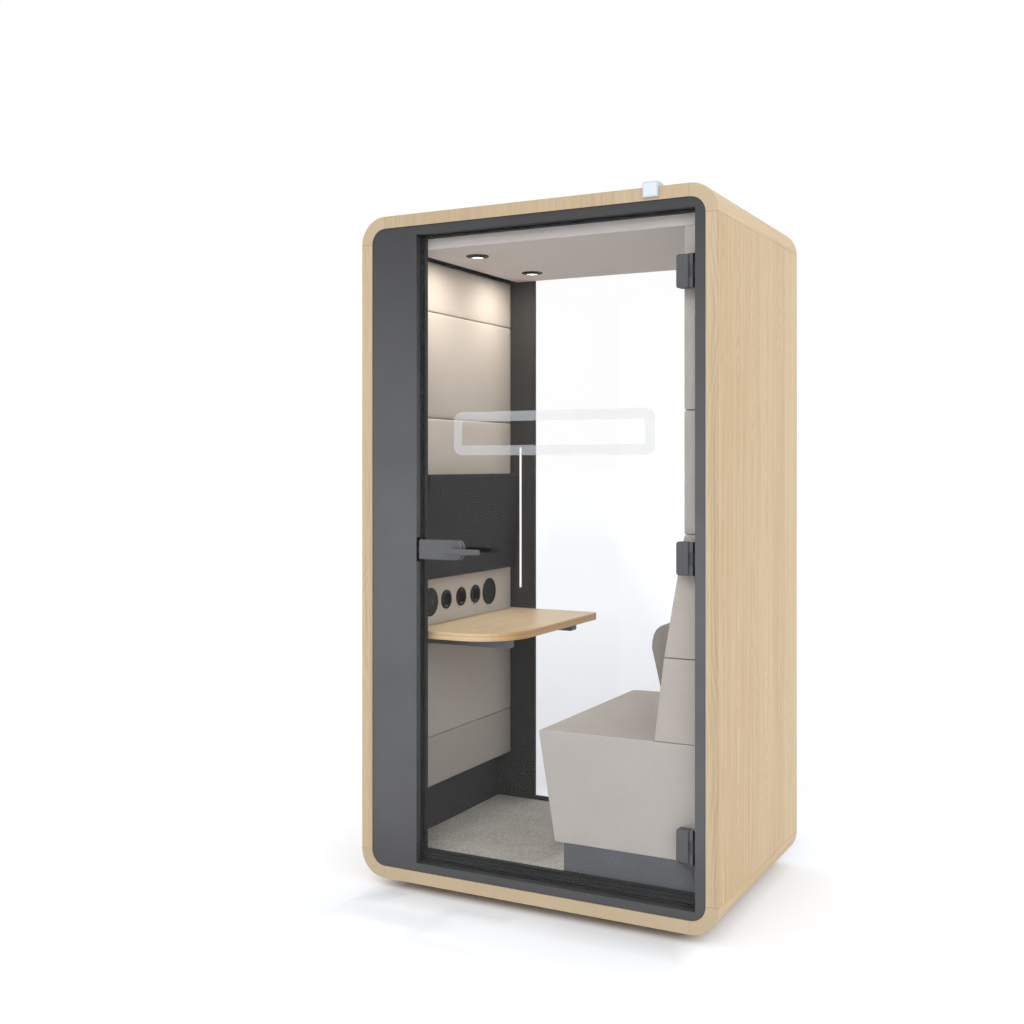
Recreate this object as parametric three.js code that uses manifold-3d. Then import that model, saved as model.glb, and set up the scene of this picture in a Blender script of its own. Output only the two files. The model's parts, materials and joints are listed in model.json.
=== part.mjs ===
// Acoustic office pod for one person: an oak shell on levelling feet, a dark front with a hinged glass door,
// a fixed window at the back, padded walls and ceiling, a raked bench on the right and a desk on the left.
// Millimetres. +X is to the right of someone facing the door, +Y runs to the back, +Z is up.
// The origin lies on the floor, in the middle of the pod's overall footprint.
import * as THREE from 'three';
import { mergeVertices } from 'three/addons/utils/BufferGeometryUtils.js';
import Module from 'manifold-3d';

const wasm = await Module();
wasm.setup();

// Fits
const rest = 0.3; // between a piece and the seat that carries it
const boardFit = 0.5; // between the shell and what is built into it
const runningFit = 0.4; // round a pin, spindle or sliding bolt
const bodyFit = 1; // round a body let into padding
const overshoot = 1; // how far a cutting tool runs past the face that it opens
const overlap = 1; // how far joined forms run into each other

// Shell
const shellWidth = 1250;
const shellDepth = 870;
const shellHeight = 2210;
const shellWall = 40;
const shellCorner = 90;
const shellSeam = 0.6;
const footHeight = 28;
const footRadius = 30;
const footPad = 10;
const stemRadius = 9;
const footInsetX = 150;
const footInsetY = 110;

// Front frame and door stop
const frameRecess = 3;
const frameDepth = 33;
const leftPanelWidth = 173;
const jambWidth = 33;
const sillHeight = 27;
const headHeight = 30;
const stopDepth = 19;
const stopLipLeft = 14;
const stopLipRight = 10;
const stopLipHead = 8;
const stopLipSill = 40;
const sillGrooves = 2;
const sillGrooveRise = 8;
const sillGroovePitch = 14;
const sillGrooveHeight = 6;
const sillGrooveDepth = 5;
const sealThickness = 2.2;
const sealWidth = 5;
const sealInset = 1.5;
const sealSwingFit = 1;

// Glass door and its hinges
const glassThickness = 8;
const glassSetback = 25;
const doorGap = 3.5;
const hingeHeight = 100;
const hingeLeafWidth = 40;
const hingeLeafThickness = 15;
const hingeBackWidth = 40;
const hingeBackThickness = 7;
const hingeEndInset = 182;
const hingeEdge = 3;
const hingeCorner = 8;
const barrelRadius = 7.5;
const barrelFit = 1;
const webSetback = 3; // room for the clamp's edge when the door stands open
const hingeAxisInset = 13.5;
const hingeAxisForward = 11;
const hingePinRadius = 3;
const hingeKnuckle = 30;
const hingeJambLeaf = 3;
const clampBossRadius = 8;
const clampBossSpacing = 50;
const glassHoleFit = 1;

// Lock and levers
const lockCentreHeight = 1102;
const lockFromEdge = 1;
const lockLength = 159;
const lockHeight = 65;
const lockThickness = 15;
const lockCoverThickness = 12;
const lockCoverInset = 14;
const lockNoseRadius = 22;
const lockHeelRadius = 4;
const lockEdge = 2;
const lockBossInset = 43;
const leverInset = 21;
const spindleRadius = 6;
const spindleBossRadius = 11;
const leverNeckRadius = 9;
const leverLength = 128;
const leverInnerLength = 103;
const leverHeight = 18;
const leverThickness = 13;
const leverEdge = 3;
const leverProjection = 45;
const leverInnerReach = 50;
const spindleGrip = 20;
const boltWidth = 9;
const boltHeight = 18;
const boltLength = 38;
const boltNose = 2;
const boltTravel = 8;
const boltChamfer = 4;
const strikeThickness = 2;
const strikeHeight = 80;
const strikeWidth = 24;
const strikeHoleHeight = 24;
const strikeHoleWidth = 13;
const strikePocket = 14;

// Back frame and window
const rearFrameDepth = 28;
const rearPostWidth = 189.5;
const rearSillHeight = 52.5;
const rearLip = 12;
const rearLipDepth = 14;
const rearGlassFit = 1;
const ledWidth = 5;
const ledCorner = 1.5;
const ledLength = 547;
const ledDepth = 6;
const ledRise = 80;
const ledInset = 48;

// Walls, floor and ceiling
const wallBoard = 30;
const panelThickness = 55;
const panelEdge = 7;
const panelEndEdge = 2.5;
const panelSeam = 0.6;
const plinthHeight = 172;
const firstPanelHeight = 174;
const panelPitch = 372.5;
const shortestPanel = 60;
const floorBoard = 31;
const carpetThickness = 10;
const ceilingDrop = 74;
const ceilingThickness = 41;
const ventWidth = 23;
const ventDrop = 7;

// Ceiling lights and ventilation
const lampRadius = 39;
const lampRim = 3;
const rimChamfer = 1;
const lampBodyRadius = 31;
const lampBodyHeight = 36;
const lampLensRadius = 23;
const lampLensRecess = 5;
const lampFromWall = 190;
const lampSpacing = 414;
const lampCentreY = 8;
const fanSize = 119;
const fanHeight = 25;
const fanBore = 56;
const fanFromWall = 150;
const fanStrut = 8;
const fanFloor = 4;
const fanHub = 21;
const fanShaft = 4;
const fanTip = 53;
const fanBladeCount = 7;
const fanBladeThickness = 2.4;
const fanBladePitch = 40;
const fanBladeFit = 1;
const exhaustSlots = 7;
const exhaustSlotWidth = 8;

// Bench
const seatHeight = 462.5;
const seatPlinth = 113;
const seatDepth = 541.5;
const seatRake = 57;
const seatCrown = 3;
const seatEdge = 6;
const seatBrow = 2;
const seatShoulder = 64;
const plinthInset = 32;
const backFoot = 152;
const backMiddle = 119.5;
const padWidth = 524;
const padFootRise = 40;
const padBellyRise = 262;
const padTopRise = 340;
const padReach = 58;
const padTopRound = 62;
const padEdge = 10;
const padEndEdge = 5;

// Desk
const deskHeight = 741;
const deskThickness = 25.5;
const deskDepth = 374.5;
const deskFrontGap = 35;
const deskFrontCorner = 185;
const deskRearCorner = 20;
const armWidth = 40;
const armHeight = 35;
const armTipInset = 53.5;
const armFrontInset = 145;
const armRearInset = 99;
const armTipTaper = 4;

// Screen
const screenWidth = 662;
const screenHeight = 361;
const screenThickness = 20;
const screenCorner = 5;
const screenEdge = 2;
const screenTilt = THREE.MathUtils.degToRad(4.7);
const screenRise = 348;
const screenCentreY = 13;
const screenPivotOut = 16;
const screenStandoff = 22;
const backHousingWidth = 300;
const backHousingHeight = 170;
const backHousingDepth = 10;
const bracketPlate = 120;
const bracketThickness = 5;
const bracketEar = 6;
const bracketEarSpan = 88;
const bracketPinRadius = 4;
const lugThickness = 10;
const lugRadius = 9;
const lugSpan = 60;

// Outlets in the wall above the desk
const outletRise = 79;
const outletCentreY = 11;
const socketPitch = 105;
const roundPlateOffset = 213;
const socketRadius = 33.5;
const socketRim = 7;
const socketBodyRadius = 29;
const socketBodyDepth = 38;
const socketRecessRadius = 24;
const socketRecessDepth = 17;
const roundPlateRadius = 50;
const roundPlateRim = 5;
const roundPlateDish = 2;
const roundPlateBodyRadius = 30;
const roundPlateBodyDepth = 30;
const dialGrip = 36;
const dialGripHeight = 5;

// Occupancy light on the top front edge
const signWidth = 49;
const signFromRight = 210;
const signDrop = 31;
const signRise = 15;
const signProud = 8;
const signRun = 40;
const signEdge = 1;

// How finely round things are divided
const wideRound = 32;
const smallRound = 16;
const cornerSteps = 6;
const edgeSteps = 2;
const curveSteps = 6;

// Places worked out from the sizes, in the shell's own frame: z is zero under the shell
const outerX = shellWidth / 2;
const innerX = outerX - shellWall;
const frontY = -shellDepth / 2;
const backY = shellDepth / 2;
const innerBottom = shellWall;
const innerTop = shellHeight - shellWall;
const innerCorner = shellCorner - shellWall;

const frameLeft = -innerX + boardFit;
const frameRight = innerX - boardFit;
const frameBottom = innerBottom + boardFit;
const frameTop = innerTop - boardFit;
const frameFront = frontY + frameRecess;
const frameBack = frameFront + frameDepth;
const interiorFront = frameBack + stopDepth;
const openLeft = frameLeft + leftPanelWidth;
const openRight = frameRight - jambWidth;
const openBottom = frameBottom + sillHeight;
const openTop = frameTop - headHeight;
const rearOuter = backY - frameRecess;
const interiorBack = rearOuter - rearFrameDepth;
const rearOpenLeft = frameLeft + rearPostWidth;
const rearOpenBottom = frameBottom + rearSillHeight;

const glassFront = frontY + glassSetback;
const glassBack = glassFront + glassThickness;
const glassLeft = openLeft + doorGap;
const glassRight = openRight - doorGap;
const glassBottom = openBottom + doorGap;
const glassTop = openTop - doorGap;
const hingeAxisX = openRight - hingeAxisInset;
const hingeAxisY = glassFront - hingeAxisForward;
const hingeLow = glassBottom + hingeEndInset;
const hingeHigh = glassTop - hingeEndInset;
const hingeCentres = { bottom: hingeLow, middle: (hingeLow + hingeHigh) / 2, top: hingeHigh };

const boardFace = innerX - wallBoard;
const panelFace = boardFace - panelThickness;
const carpetTop = innerBottom + floorBoard + carpetThickness;
const ceilingFace = innerTop - ceilingDrop;
const ceilingTop = ceilingFace + ceilingThickness;
const seatTop = carpetTop + seatHeight;
const seatUnder = carpetTop + seatPlinth;
const seatFront = boardFace - seatDepth;
const deskTop = carpetTop + deskHeight;
const deskUnder = deskTop - deskThickness;
const deskFront = interiorFront + deskFrontGap;
const deskBack = interiorBack - rest;
const deskEnd = -panelFace + deskDepth;
const armPlaces = { front: deskFront + armFrontInset, rear: deskBack - armRearInset };
const leftPanelBottom = carpetTop + plinthHeight;
const firstSeam = leftPanelBottom + firstPanelHeight;
const outletHeight = deskTop + outletRise;
const screenCentreZ = deskTop + screenRise;
const screenPivotX = -panelFace + screenPivotOut;
const fanX = -panelFace + fanFromWall;
const fanY = (interiorFront + interiorBack) / 2;

// Finishes
const finishes = {
  oak: { color: 0xd7c09e, roughness: 0.55, metalness: 0 },
  deskOak: { color: 0xd0b78f, roughness: 0.5, metalness: 0 },
  frame: { color: 0x5f6063, roughness: 0.45, metalness: 0.2 },
  board: { color: 0x3c3c3b, roughness: 0.7, metalness: 0 },
  felt: { color: 0xb5aea6, roughness: 0.95, metalness: 0 },
  carpet: { color: 0x8f8c86, roughness: 1, metalness: 0 },
  glass: { color: 0xe8f0ee, roughness: 0.05, metalness: 0, transparent: true, opacity: 0.25 },
  fitting: { color: 0x666668, roughness: 0.4, metalness: 0.6 },
  black: { color: 0x1b1b1c, roughness: 0.5, metalness: 0 },
  rubber: { color: 0x222222, roughness: 0.9, metalness: 0 },
  white: { color: 0xeef4fb, roughness: 0.35, metalness: 0 },
};

const pod = new THREE.Group();
const door = new THREE.Group();
const screen = new THREE.Group();

function add(name, geometry, finish, parent = pod) {
  const mesh = new THREE.Mesh(geometry, new THREE.MeshStandardMaterial(finishes[finish]));
  mesh.name = name;
  parent.add(mesh);
}

// Joining and cutting
function toSolid(geometry) {
  const bare = geometry.clone();
  bare.deleteAttribute('normal');
  bare.deleteAttribute('uv');
  const merged = mergeVertices(bare);
  return new wasm.Manifold(
    new wasm.Mesh({
      numProp: 3,
      vertProperties: merged.attributes.position.array,
      triVerts: new Uint32Array(merged.index.array),
    }),
  );
}

function toGeometry(solid) {
  const mesh = solid.getMesh();
  const geometry = new THREE.BufferGeometry();
  geometry.setAttribute('position', new THREE.BufferAttribute(mesh.vertProperties, 3));
  geometry.setIndex(new THREE.BufferAttribute(mesh.triVerts, 1));
  geometry.computeVertexNormals();
  return geometry;
}

function join(...geometries) {
  return toGeometry(geometries.map(toSolid).reduce((whole, piece) => whole.add(piece)));
}

function cut(geometry, ...tools) {
  return toGeometry(tools.map(toSolid).reduce((whole, tool) => whole.subtract(tool), toSolid(geometry)));
}

function common(first, second) {
  return toGeometry(toSolid(first).intersect(toSolid(second)));
}

// Basic forms
const large = { steps: cornerSteps };
const ring = { steps: wideRound / 2 };
const soft = (edge, steps = edgeSteps) => ({ edge, steps, endSteps: 2 });

function block(x0, x1, y0, y1, z0, z1) {
  const box = new THREE.BoxGeometry(x1 - x0, y1 - y0, z1 - z0);
  return box.translate((x0 + x1) / 2, (y0 + y1) / 2, (z0 + z1) / 2);
}

function roundedOutline(u0, u1, v0, v1, radii) {
  const [lowLeft, lowRight, highRight, highLeft] = Array.isArray(radii) ? radii : [radii, radii, radii, radii];
  const quarter = Math.PI / 2;
  const shape = new THREE.Shape();
  shape.moveTo(u0 + lowLeft, v0);
  shape.lineTo(u1 - lowRight, v0);
  if (lowRight > 0) shape.absarc(u1 - lowRight, v0 + lowRight, lowRight, -quarter, 0);
  shape.lineTo(u1, v1 - highRight);
  if (highRight > 0) shape.absarc(u1 - highRight, v1 - highRight, highRight, 0, quarter);
  shape.lineTo(u0 + highLeft, v1);
  if (highLeft > 0) shape.absarc(u0 + highLeft, v1 - highLeft, highLeft, quarter, 2 * quarter);
  shape.lineTo(u0, v0 + lowLeft);
  if (lowLeft > 0) shape.absarc(u0 + lowLeft, v0 + lowLeft, lowLeft, 2 * quarter, 3 * quarter);
  return shape;
}

function holeIn(shape, u0, u1, v0, v1) {
  shape.holes.push(new THREE.Path(roundedOutline(u0, u1, v0, v1, 0).getPoints()));
  return shape;
}

// An outline pulled straight: steps divide its round corners, edge rounds or chamfers its two ends
function extruded(shape, length, { edge = 0, steps = edgeSteps, endSteps = 1 }) {
  const settings = { depth: length - 2 * edge, curveSegments: steps, bevelEnabled: edge > 0 };
  if (edge > 0) {
    const ends = { bevelThickness: edge, bevelSize: edge, bevelOffset: -edge, bevelSegments: endSteps };
    Object.assign(settings, ends);
  }
  return new THREE.ExtrudeGeometry(shape, settings).translate(0, 0, edge);
}

// An outline drawn in x and z, pulled from y0 to y1
function alongY(shape, y0, y1, form = {}) {
  const turn = new THREE.Matrix4().makeBasis(
    new THREE.Vector3(1, 0, 0),
    new THREE.Vector3(0, 0, 1),
    new THREE.Vector3(0, -1, 0),
  );
  return extruded(shape, y1 - y0, form).applyMatrix4(turn).translate(0, y1, 0);
}

// An outline drawn in y and z, pulled from x0 to x1
function alongX(shape, x0, x1, form = {}) {
  const turn = new THREE.Matrix4().makeBasis(
    new THREE.Vector3(0, 1, 0),
    new THREE.Vector3(0, 0, 1),
    new THREE.Vector3(1, 0, 0),
  );
  return extruded(shape, x1 - x0, form).applyMatrix4(turn).translate(x0, 0, 0);
}

// An outline drawn in x and y, pulled from z0 to z1
function alongZ(shape, z0, z1, form = {}) {
  return extruded(shape, z1 - z0, form).translate(0, 0, z0);
}

function rodY(radius, x, z, y0, y1, sides = smallRound) {
  return new THREE.CylinderGeometry(radius, radius, y1 - y0, sides).translate(x, (y0 + y1) / 2, z);
}

function rodZ(radius, x, y, z0, z1, sides = smallRound) {
  const rod = new THREE.CylinderGeometry(radius, radius, z1 - z0, sides).rotateX(Math.PI / 2);
  return rod.translate(x, y, (z0 + z1) / 2);
}

function rodX(radius, y, z, x0, x1, sides = smallRound) {
  const rod = new THREE.CylinderGeometry(radius, radius, x1 - x0, sides).rotateZ(Math.PI / 2);
  return rod.translate((x0 + x1) / 2, y, z);
}

// A turned piece: pairs of radius and height, from the axis outwards and back to the axis
function turned(profile, sides) {
  const points = profile.map(([radius, height]) => new THREE.Vector2(radius, height));
  return new THREE.LatheGeometry(points, sides);
}

function facingX(geometry, x, y, z) {
  return geometry.rotateZ(-Math.PI / 2).translate(x, y, z);
}

// What is left of a block inside the shell's rounded hollow
function insideShell(x0, x1, y0, y1, z0, z1) {
  const outline = roundedOutline(frameLeft, frameRight, frameBottom, frameTop, innerCorner - boardFit);
  return common(alongY(outline, frontY, backY, large), block(x0, x1, y0, y1, z0, z1));
}

// Oak shell: four straight panels and four bent corners, with levelling feet under the floor panel
function shellPanels() {
  const flatX = outerX - shellCorner - shellSeam;
  const lowZ = shellCorner + shellSeam;
  const highZ = shellHeight - shellCorner - shellSeam;
  const slots = Array.from({ length: exhaustSlots }, (_, index) => {
    const pitch = (2 * fanBore) / (exhaustSlots + 1);
    const slotX = fanX - fanBore + (index + 1) * pitch;
    const reach = Math.sqrt(fanBore ** 2 - (slotX - fanX) ** 2) - exhaustSlotWidth;
    const half = exhaustSlotWidth / 2;
    const depth = [innerTop - overshoot, shellHeight + overshoot];
    return block(slotX - half, slotX + half, fanY - reach, fanY + reach, ...depth);
  });
  add('shell_roof', cut(block(-flatX, flatX, frontY, backY, innerTop, shellHeight), ...slots), 'oak');
  add('shell_left', block(-outerX, -innerX, frontY, backY, lowZ, highZ), 'oak');
  add('shell_right', block(innerX, outerX, frontY, backY, lowZ, highZ), 'oak');

  const floor = block(-flatX, flatX, frontY, backY, 0, innerBottom);
  const feet = [-1, 1].flatMap((sideX) =>
    [-1, 1].flatMap((sideY) => {
      const x = sideX * (outerX - footInsetX);
      const y = sideY * (backY - footInsetY);
      return [
        rodZ(footRadius, x, y, -footHeight, footPad - footHeight),
        rodZ(stemRadius, x, y, -footHeight, innerBottom / 2),
      ];
    }),
  );
  add('shell_floor', join(floor, ...feet), 'oak');
}

function shellCorners() {
  const quarter = Math.PI / 2;
  const places = {
    corner_top_right: [1, 1, 0],
    corner_top_left: [-1, 1, quarter],
    corner_bottom_left: [-1, -1, 2 * quarter],
    corner_bottom_right: [1, -1, 3 * quarter],
  };
  for (const [name, [sideX, sideZ, start]] of Object.entries(places)) {
    const centreX = sideX * (outerX - shellCorner);
    const centreZ = sideZ > 0 ? shellHeight - shellCorner : shellCorner;
    const sector = new THREE.Shape();
    sector.absarc(centreX, centreZ, shellCorner, start, start + quarter);
    sector.absarc(centreX, centreZ, innerCorner, start + quarter, start, true);
    add(name, alongY(sector, frontY, backY, large), 'oak');
  }
}

// Dark front: the frame round the door, the stop behind the glass, its seal and the strike
function frontFrame() {
  const outline = roundedOutline(frameLeft, frameRight, frameBottom, frameTop, innerCorner - boardFit);
  const frame = alongY(holeIn(outline, openLeft, openRight, openBottom, openTop), frameFront, frameBack, large);
  const boltY = boltCentreY();
  const recess = block(
    openLeft - strikeThickness - rest, openLeft + overshoot,
    boltY - strikeWidth / 2 - rest, boltY + strikeWidth / 2 + rest,
    lockCentreHeight - strikeHeight / 2 - rest, lockCentreHeight + strikeHeight / 2 + rest,
  );
  const pocket = block(
    openLeft - strikePocket, openLeft + overshoot,
    boltY - strikeHoleWidth / 2, boltY + strikeHoleWidth / 2,
    lockCentreHeight - strikeHoleHeight / 2, lockCentreHeight + strikeHoleHeight / 2,
  );
  add('front_frame', cut(frame, recess, pocket), 'frame');

  const plate = roundedOutline(
    boltY - strikeWidth / 2, boltY + strikeWidth / 2,
    lockCentreHeight - strikeHeight / 2, lockCentreHeight + strikeHeight / 2, lockHeelRadius,
  );
  holeIn(
    plate,
    boltY - strikeHoleWidth / 2, boltY + strikeHoleWidth / 2,
    lockCentreHeight - strikeHoleHeight / 2, lockCentreHeight + strikeHoleHeight / 2,
  );
  add('strike_plate', alongX(plate, openLeft - strikeThickness, openLeft), 'black');
}

function doorStop() {
  const left = openLeft + stopLipLeft;
  const right = openRight - stopLipRight;
  const bottom = openBottom + stopLipSill;
  const top = openTop - stopLipHead;
  const outline = roundedOutline(frameLeft, frameRight, frameBottom, frameTop, innerCorner - boardFit);
  const stop = alongY(holeIn(outline, left, right, bottom, top), frameBack, interiorFront, large);
  const grooves = Array.from({ length: sillGrooves }, (_, index) => {
    const low = openBottom + sillGrooveRise + index * sillGroovePitch;
    const depth = [frameBack - overshoot, frameBack + sillGrooveDepth];
    return block(openLeft, openRight, ...depth, low, low + sillGrooveHeight);
  });
  add('door_stop', cut(stop, ...grooves), 'frame');

  const seal = sealOutline(left - sealInset, bottom - sealInset, top + sealInset);
  add('door_seal', alongY(seal, frameBack - sealThickness, frameBack), 'rubber');
}

// The seal runs along sill, latch side and head, and ends clear of the edge that the glass swings at its hinges
function sealOutline(left, bottom, top) {
  const swing = Math.hypot(glassRight - hingeAxisX, glassBack - hingeAxisY);
  const depth = frameBack - sealThickness - hingeAxisY;
  const end = hingeAxisX - Math.sqrt(swing ** 2 - depth ** 2) - sealSwingFit;
  const seal = new THREE.Shape();
  seal.moveTo(left - sealWidth, bottom - sealWidth);
  seal.lineTo(end, bottom - sealWidth);
  seal.lineTo(end, bottom);
  seal.lineTo(left, bottom);
  seal.lineTo(left, top);
  seal.lineTo(end, top);
  seal.lineTo(end, top + sealWidth);
  seal.lineTo(left - sealWidth, top + sealWidth);
  return seal;
}

// Where the latch bolt, the lock and the hinge clamps sit on the door
function boltCentreY() {
  return glassFront - rest - lockThickness / 2;
}

function lockPlaces() {
  const left = glassLeft + lockFromEdge;
  const right = left + lockLength;
  return { left, right, leverX: right - leverInset, bossX: left + lockBossInset };
}

function clampBosses(centreZ) {
  const x = hingeAxisX - barrelRadius - barrelFit - hingeLeafWidth + hingeBackWidth / 2;
  return [-1, 1].map((side) => ({ x, z: centreZ + (side * clampBossSpacing) / 2 }));
}

// Glass leaf with the holes that its hinge clamps and its lock need
function doorGlass() {
  const { leverX, bossX } = lockPlaces();
  const front = glassFront - overshoot;
  const back = glassBack + overshoot;
  const holes = Object.values(hingeCentres)
    .flatMap(clampBosses)
    .map(({ x, z }) => rodY(clampBossRadius + glassHoleFit, x, z, front, back));
  holes.push(rodY(clampBossRadius + glassHoleFit, bossX, lockCentreHeight, front, back));
  holes.push(rodY(spindleBossRadius + glassHoleFit, leverX, lockCentreHeight, front, back));
  const pane = block(glassLeft, glassRight, glassFront, glassBack, glassBottom, glassTop);
  add('door_glass', cut(pane, ...holes), 'glass', door);
}

// Each hinge: a clamp on the glass whose two knuckles hold the pin, and a bracket on the jamb between them
function hinges() {
  const leafRight = hingeAxisX - barrelRadius - barrelFit;
  const leafLeft = leafRight - hingeLeafWidth;
  const leafFront = glassFront - rest - hingeLeafThickness;
  const leafBack = glassBack + rest + hingeBackThickness;
  for (const [place, centre] of Object.entries(hingeCentres)) {
    const low = centre - hingeHeight / 2;
    const high = centre + hingeHeight / 2;
    const plate = roundedOutline(leafLeft, leafRight, low, high, [hingeCorner, 0, 0, hingeCorner]);
    const cover = roundedOutline(leafLeft, leafLeft + hingeBackWidth, low, high, hingeCorner);
    const bosses = clampBosses(centre).map(({ x, z }) =>
      rodY(clampBossRadius, x, z, glassFront - rest - overlap, glassBack + rest + overlap),
    );
    const knuckles = [low, high - hingeKnuckle].flatMap((knuckleLow) => [
      rodZ(barrelRadius, hingeAxisX, hingeAxisY, knuckleLow, knuckleLow + hingeKnuckle),
      block(
        leafRight - overlap, hingeAxisX,
        leafFront + hingeEdge, glassFront - hingeEdge,
        knuckleLow, knuckleLow + hingeKnuckle,
      ),
    ]);
    const pin = rodZ(hingePinRadius, hingeAxisX, hingeAxisY, low + overlap, high - overlap);
    const clamp = join(
      alongY(plate, leafFront, glassFront - rest, { edge: hingeEdge }),
      alongY(cover, glassBack + rest, leafBack, { edge: hingeEdge }),
      ...bosses,
      ...knuckles,
      pin,
    );
    add(`hinge_clamp_${place}`, clamp, 'fitting', door);

    const barrelLow = low + hingeKnuckle + rest;
    const barrelHigh = high - hingeKnuckle - rest;
    const web = block(
      hingeAxisX, openRight,
      hingeAxisY - barrelRadius + webSetback, hingeAxisY + barrelRadius - hingeEdge,
      barrelLow, barrelHigh,
    );
    const jambLeaf = block(
      openRight - hingeJambLeaf, openRight,
      hingeAxisY - barrelRadius, hingeAxisY + barrelRadius,
      low, high,
    );
    const barrel = rodZ(barrelRadius, hingeAxisX, hingeAxisY, barrelLow, barrelHigh, wideRound);
    const bore = rodZ(hingePinRadius + runningFit, hingeAxisX, hingeAxisY, low, high);
    add(`hinge_bracket_${place}`, cut(join(barrel, web, jambLeaf), bore), 'fitting');
  }
}

// Lock case clamped on the glass, the latch bolt that slides in it, and the two levers on one spindle
function lock() {
  const { left, right, leverX, bossX } = lockPlaces();
  const low = lockCentreHeight - lockHeight / 2;
  const high = lockCentreHeight + lockHeight / 2;
  const caseFront = glassFront - rest - lockThickness;
  const coverBack = glassBack + rest + lockCoverThickness;
  const radii = [lockHeelRadius, lockNoseRadius, lockNoseRadius, lockHeelRadius];
  const faceOutline = roundedOutline(left, right, low, high, radii);
  const face = alongY(faceOutline, caseFront, glassFront - rest, { edge: lockEdge });
  const coverOutline = roundedOutline(left + lockCoverInset, right, low, high, radii);
  const cover = alongY(coverOutline, glassBack + rest, coverBack, { edge: lockEdge });
  const through = [glassFront - rest - overlap, glassBack + rest + overlap];
  const boss = rodY(clampBossRadius, bossX, lockCentreHeight, ...through);
  const spindleBoss = rodY(spindleBossRadius, leverX, lockCentreHeight, ...through);
  const boreEnds = [caseFront - overshoot, coverBack + overshoot];
  const bore = rodY(spindleRadius + runningFit, leverX, lockCentreHeight, ...boreEnds);
  const boltY = boltCentreY();
  const boltLeft = left - boltNose;
  const pocket = block(
    left - overshoot, boltLeft + boltLength + boltTravel + rest,
    boltY - boltWidth / 2 - runningFit, boltY + boltWidth / 2 + runningFit,
    lockCentreHeight - boltHeight / 2 - runningFit, lockCentreHeight + boltHeight / 2 + runningFit,
  );
  add('lock_case', cut(join(face, cover, boss, spindleBoss), bore, pocket), 'fitting', door);

  const boltLow = lockCentreHeight - boltHeight / 2;
  const boltHigh = lockCentreHeight + boltHeight / 2;
  const bolt = new THREE.Shape();
  bolt.moveTo(boltLeft, boltY - boltWidth / 2);
  bolt.lineTo(boltLeft + boltLength, boltY - boltWidth / 2);
  bolt.lineTo(boltLeft + boltLength, boltY + boltWidth / 2);
  bolt.lineTo(boltLeft + boltChamfer, boltY + boltWidth / 2);
  bolt.lineTo(boltLeft, boltY + boltWidth / 2 - boltChamfer);
  add('latch_bolt', alongZ(bolt, boltLow, boltHigh), 'fitting', door);

  const barOutline = (length) =>
    roundedOutline(
      leverX - leverHeight / 2, leverX - leverHeight / 2 + length,
      lockCentreHeight - leverHeight / 2, lockCentreHeight + leverHeight / 2, leverHeight / 2 - rest,
    );
  const outerTip = frontY - leverProjection;
  const outerBar = alongY(barOutline(leverLength), outerTip, outerTip + leverThickness, { edge: leverEdge });
  const neckRadius = leverNeckRadius - rest;
  const outerNeck = rodY(neckRadius, leverX, lockCentreHeight, outerTip + leverEdge, caseFront - rest);
  const socketEnd = caseFront - spindleGrip;
  const socket = rodY(spindleRadius + rest, leverX, lockCentreHeight, socketEnd, caseFront);
  add('lever_outer', cut(join(outerBar, outerNeck), socket), 'fitting', door);

  const innerTip = coverBack + leverInnerReach;
  const innerOutline = barOutline(leverInnerLength);
  const innerBar = alongY(innerOutline, innerTip - leverThickness, innerTip, { edge: leverEdge });
  const innerNeck = rodY(neckRadius, leverX, lockCentreHeight, coverBack + rest, innerTip - leverEdge);
  const spindle = rodY(spindleRadius, leverX, lockCentreHeight, socketEnd + rest, innerTip - leverEdge);
  add('lever_inner', join(innerBar, innerNeck, spindle), 'fitting', door);
}

// Dark back frame with a rebate for the fixed window, and the light bar on its wide post
function backWall() {
  const outline = roundedOutline(frameLeft, frameRight, frameBottom, frameTop, innerCorner - boardFit);
  const frame = alongY(
    holeIn(outline, rearOpenLeft, openRight, rearOpenBottom, openTop), interiorBack, rearOuter, large,
  );
  const rebate = block(
    rearOpenLeft - rearLip, openRight + rearLip, interiorBack + rearLipDepth, rearOuter + overshoot,
    rearOpenBottom - rearLip, openTop + rearLip,
  );
  add('rear_frame', cut(frame, rebate), 'frame');

  const margin = rearLip - rearGlassFit;
  const paneFront = interiorBack + rearLipDepth + rest;
  const pane = block(
    rearOpenLeft - margin, openRight + margin, paneFront, paneFront + glassThickness,
    rearOpenBottom - margin, openTop + margin,
  );
  add('rear_glass', pane, 'glass');

  const barX = -panelFace + ledInset - ledWidth / 2;
  const barLow = deskTop + ledRise;
  const bar = roundedOutline(barX - ledWidth / 2, barX + ledWidth / 2, barLow, barLow + ledLength, ledCorner);
  add('led_bar', alongY(bar, interiorBack - ledDepth, interiorBack), 'white');
}

// Wall boards, floor board and carpet
function boards() {
  const inside = [interiorFront, interiorBack];
  add('left_wall_board', insideShell(-outerX, -boardFace, ...inside, 0, shellHeight), 'board');
  add('right_wall_board', insideShell(boardFace, outerX, ...inside, 0, shellHeight), 'board');
  const edge = boardFace - rest;
  const floorTop = innerBottom + floorBoard;
  add('floor_board', insideShell(-edge, edge, ...inside, 0, floorTop), 'board');
  add('carpet', block(-edge, edge, interiorFront + rest, interiorBack - rest, floorTop, carpetTop), 'carpet');
}

// Heights of the seams between stacked panels, from one level up to another
function panelBands(bottom, top) {
  const levels = [bottom];
  for (let seam = firstSeam; seam < top - shortestPanel; seam += panelPitch) {
    if (seam > bottom + shortestPanel) levels.push(seam);
  }
  levels.push(top);
  return levels.slice(1).map((level, index) => [levels[index], level]);
}

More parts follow.
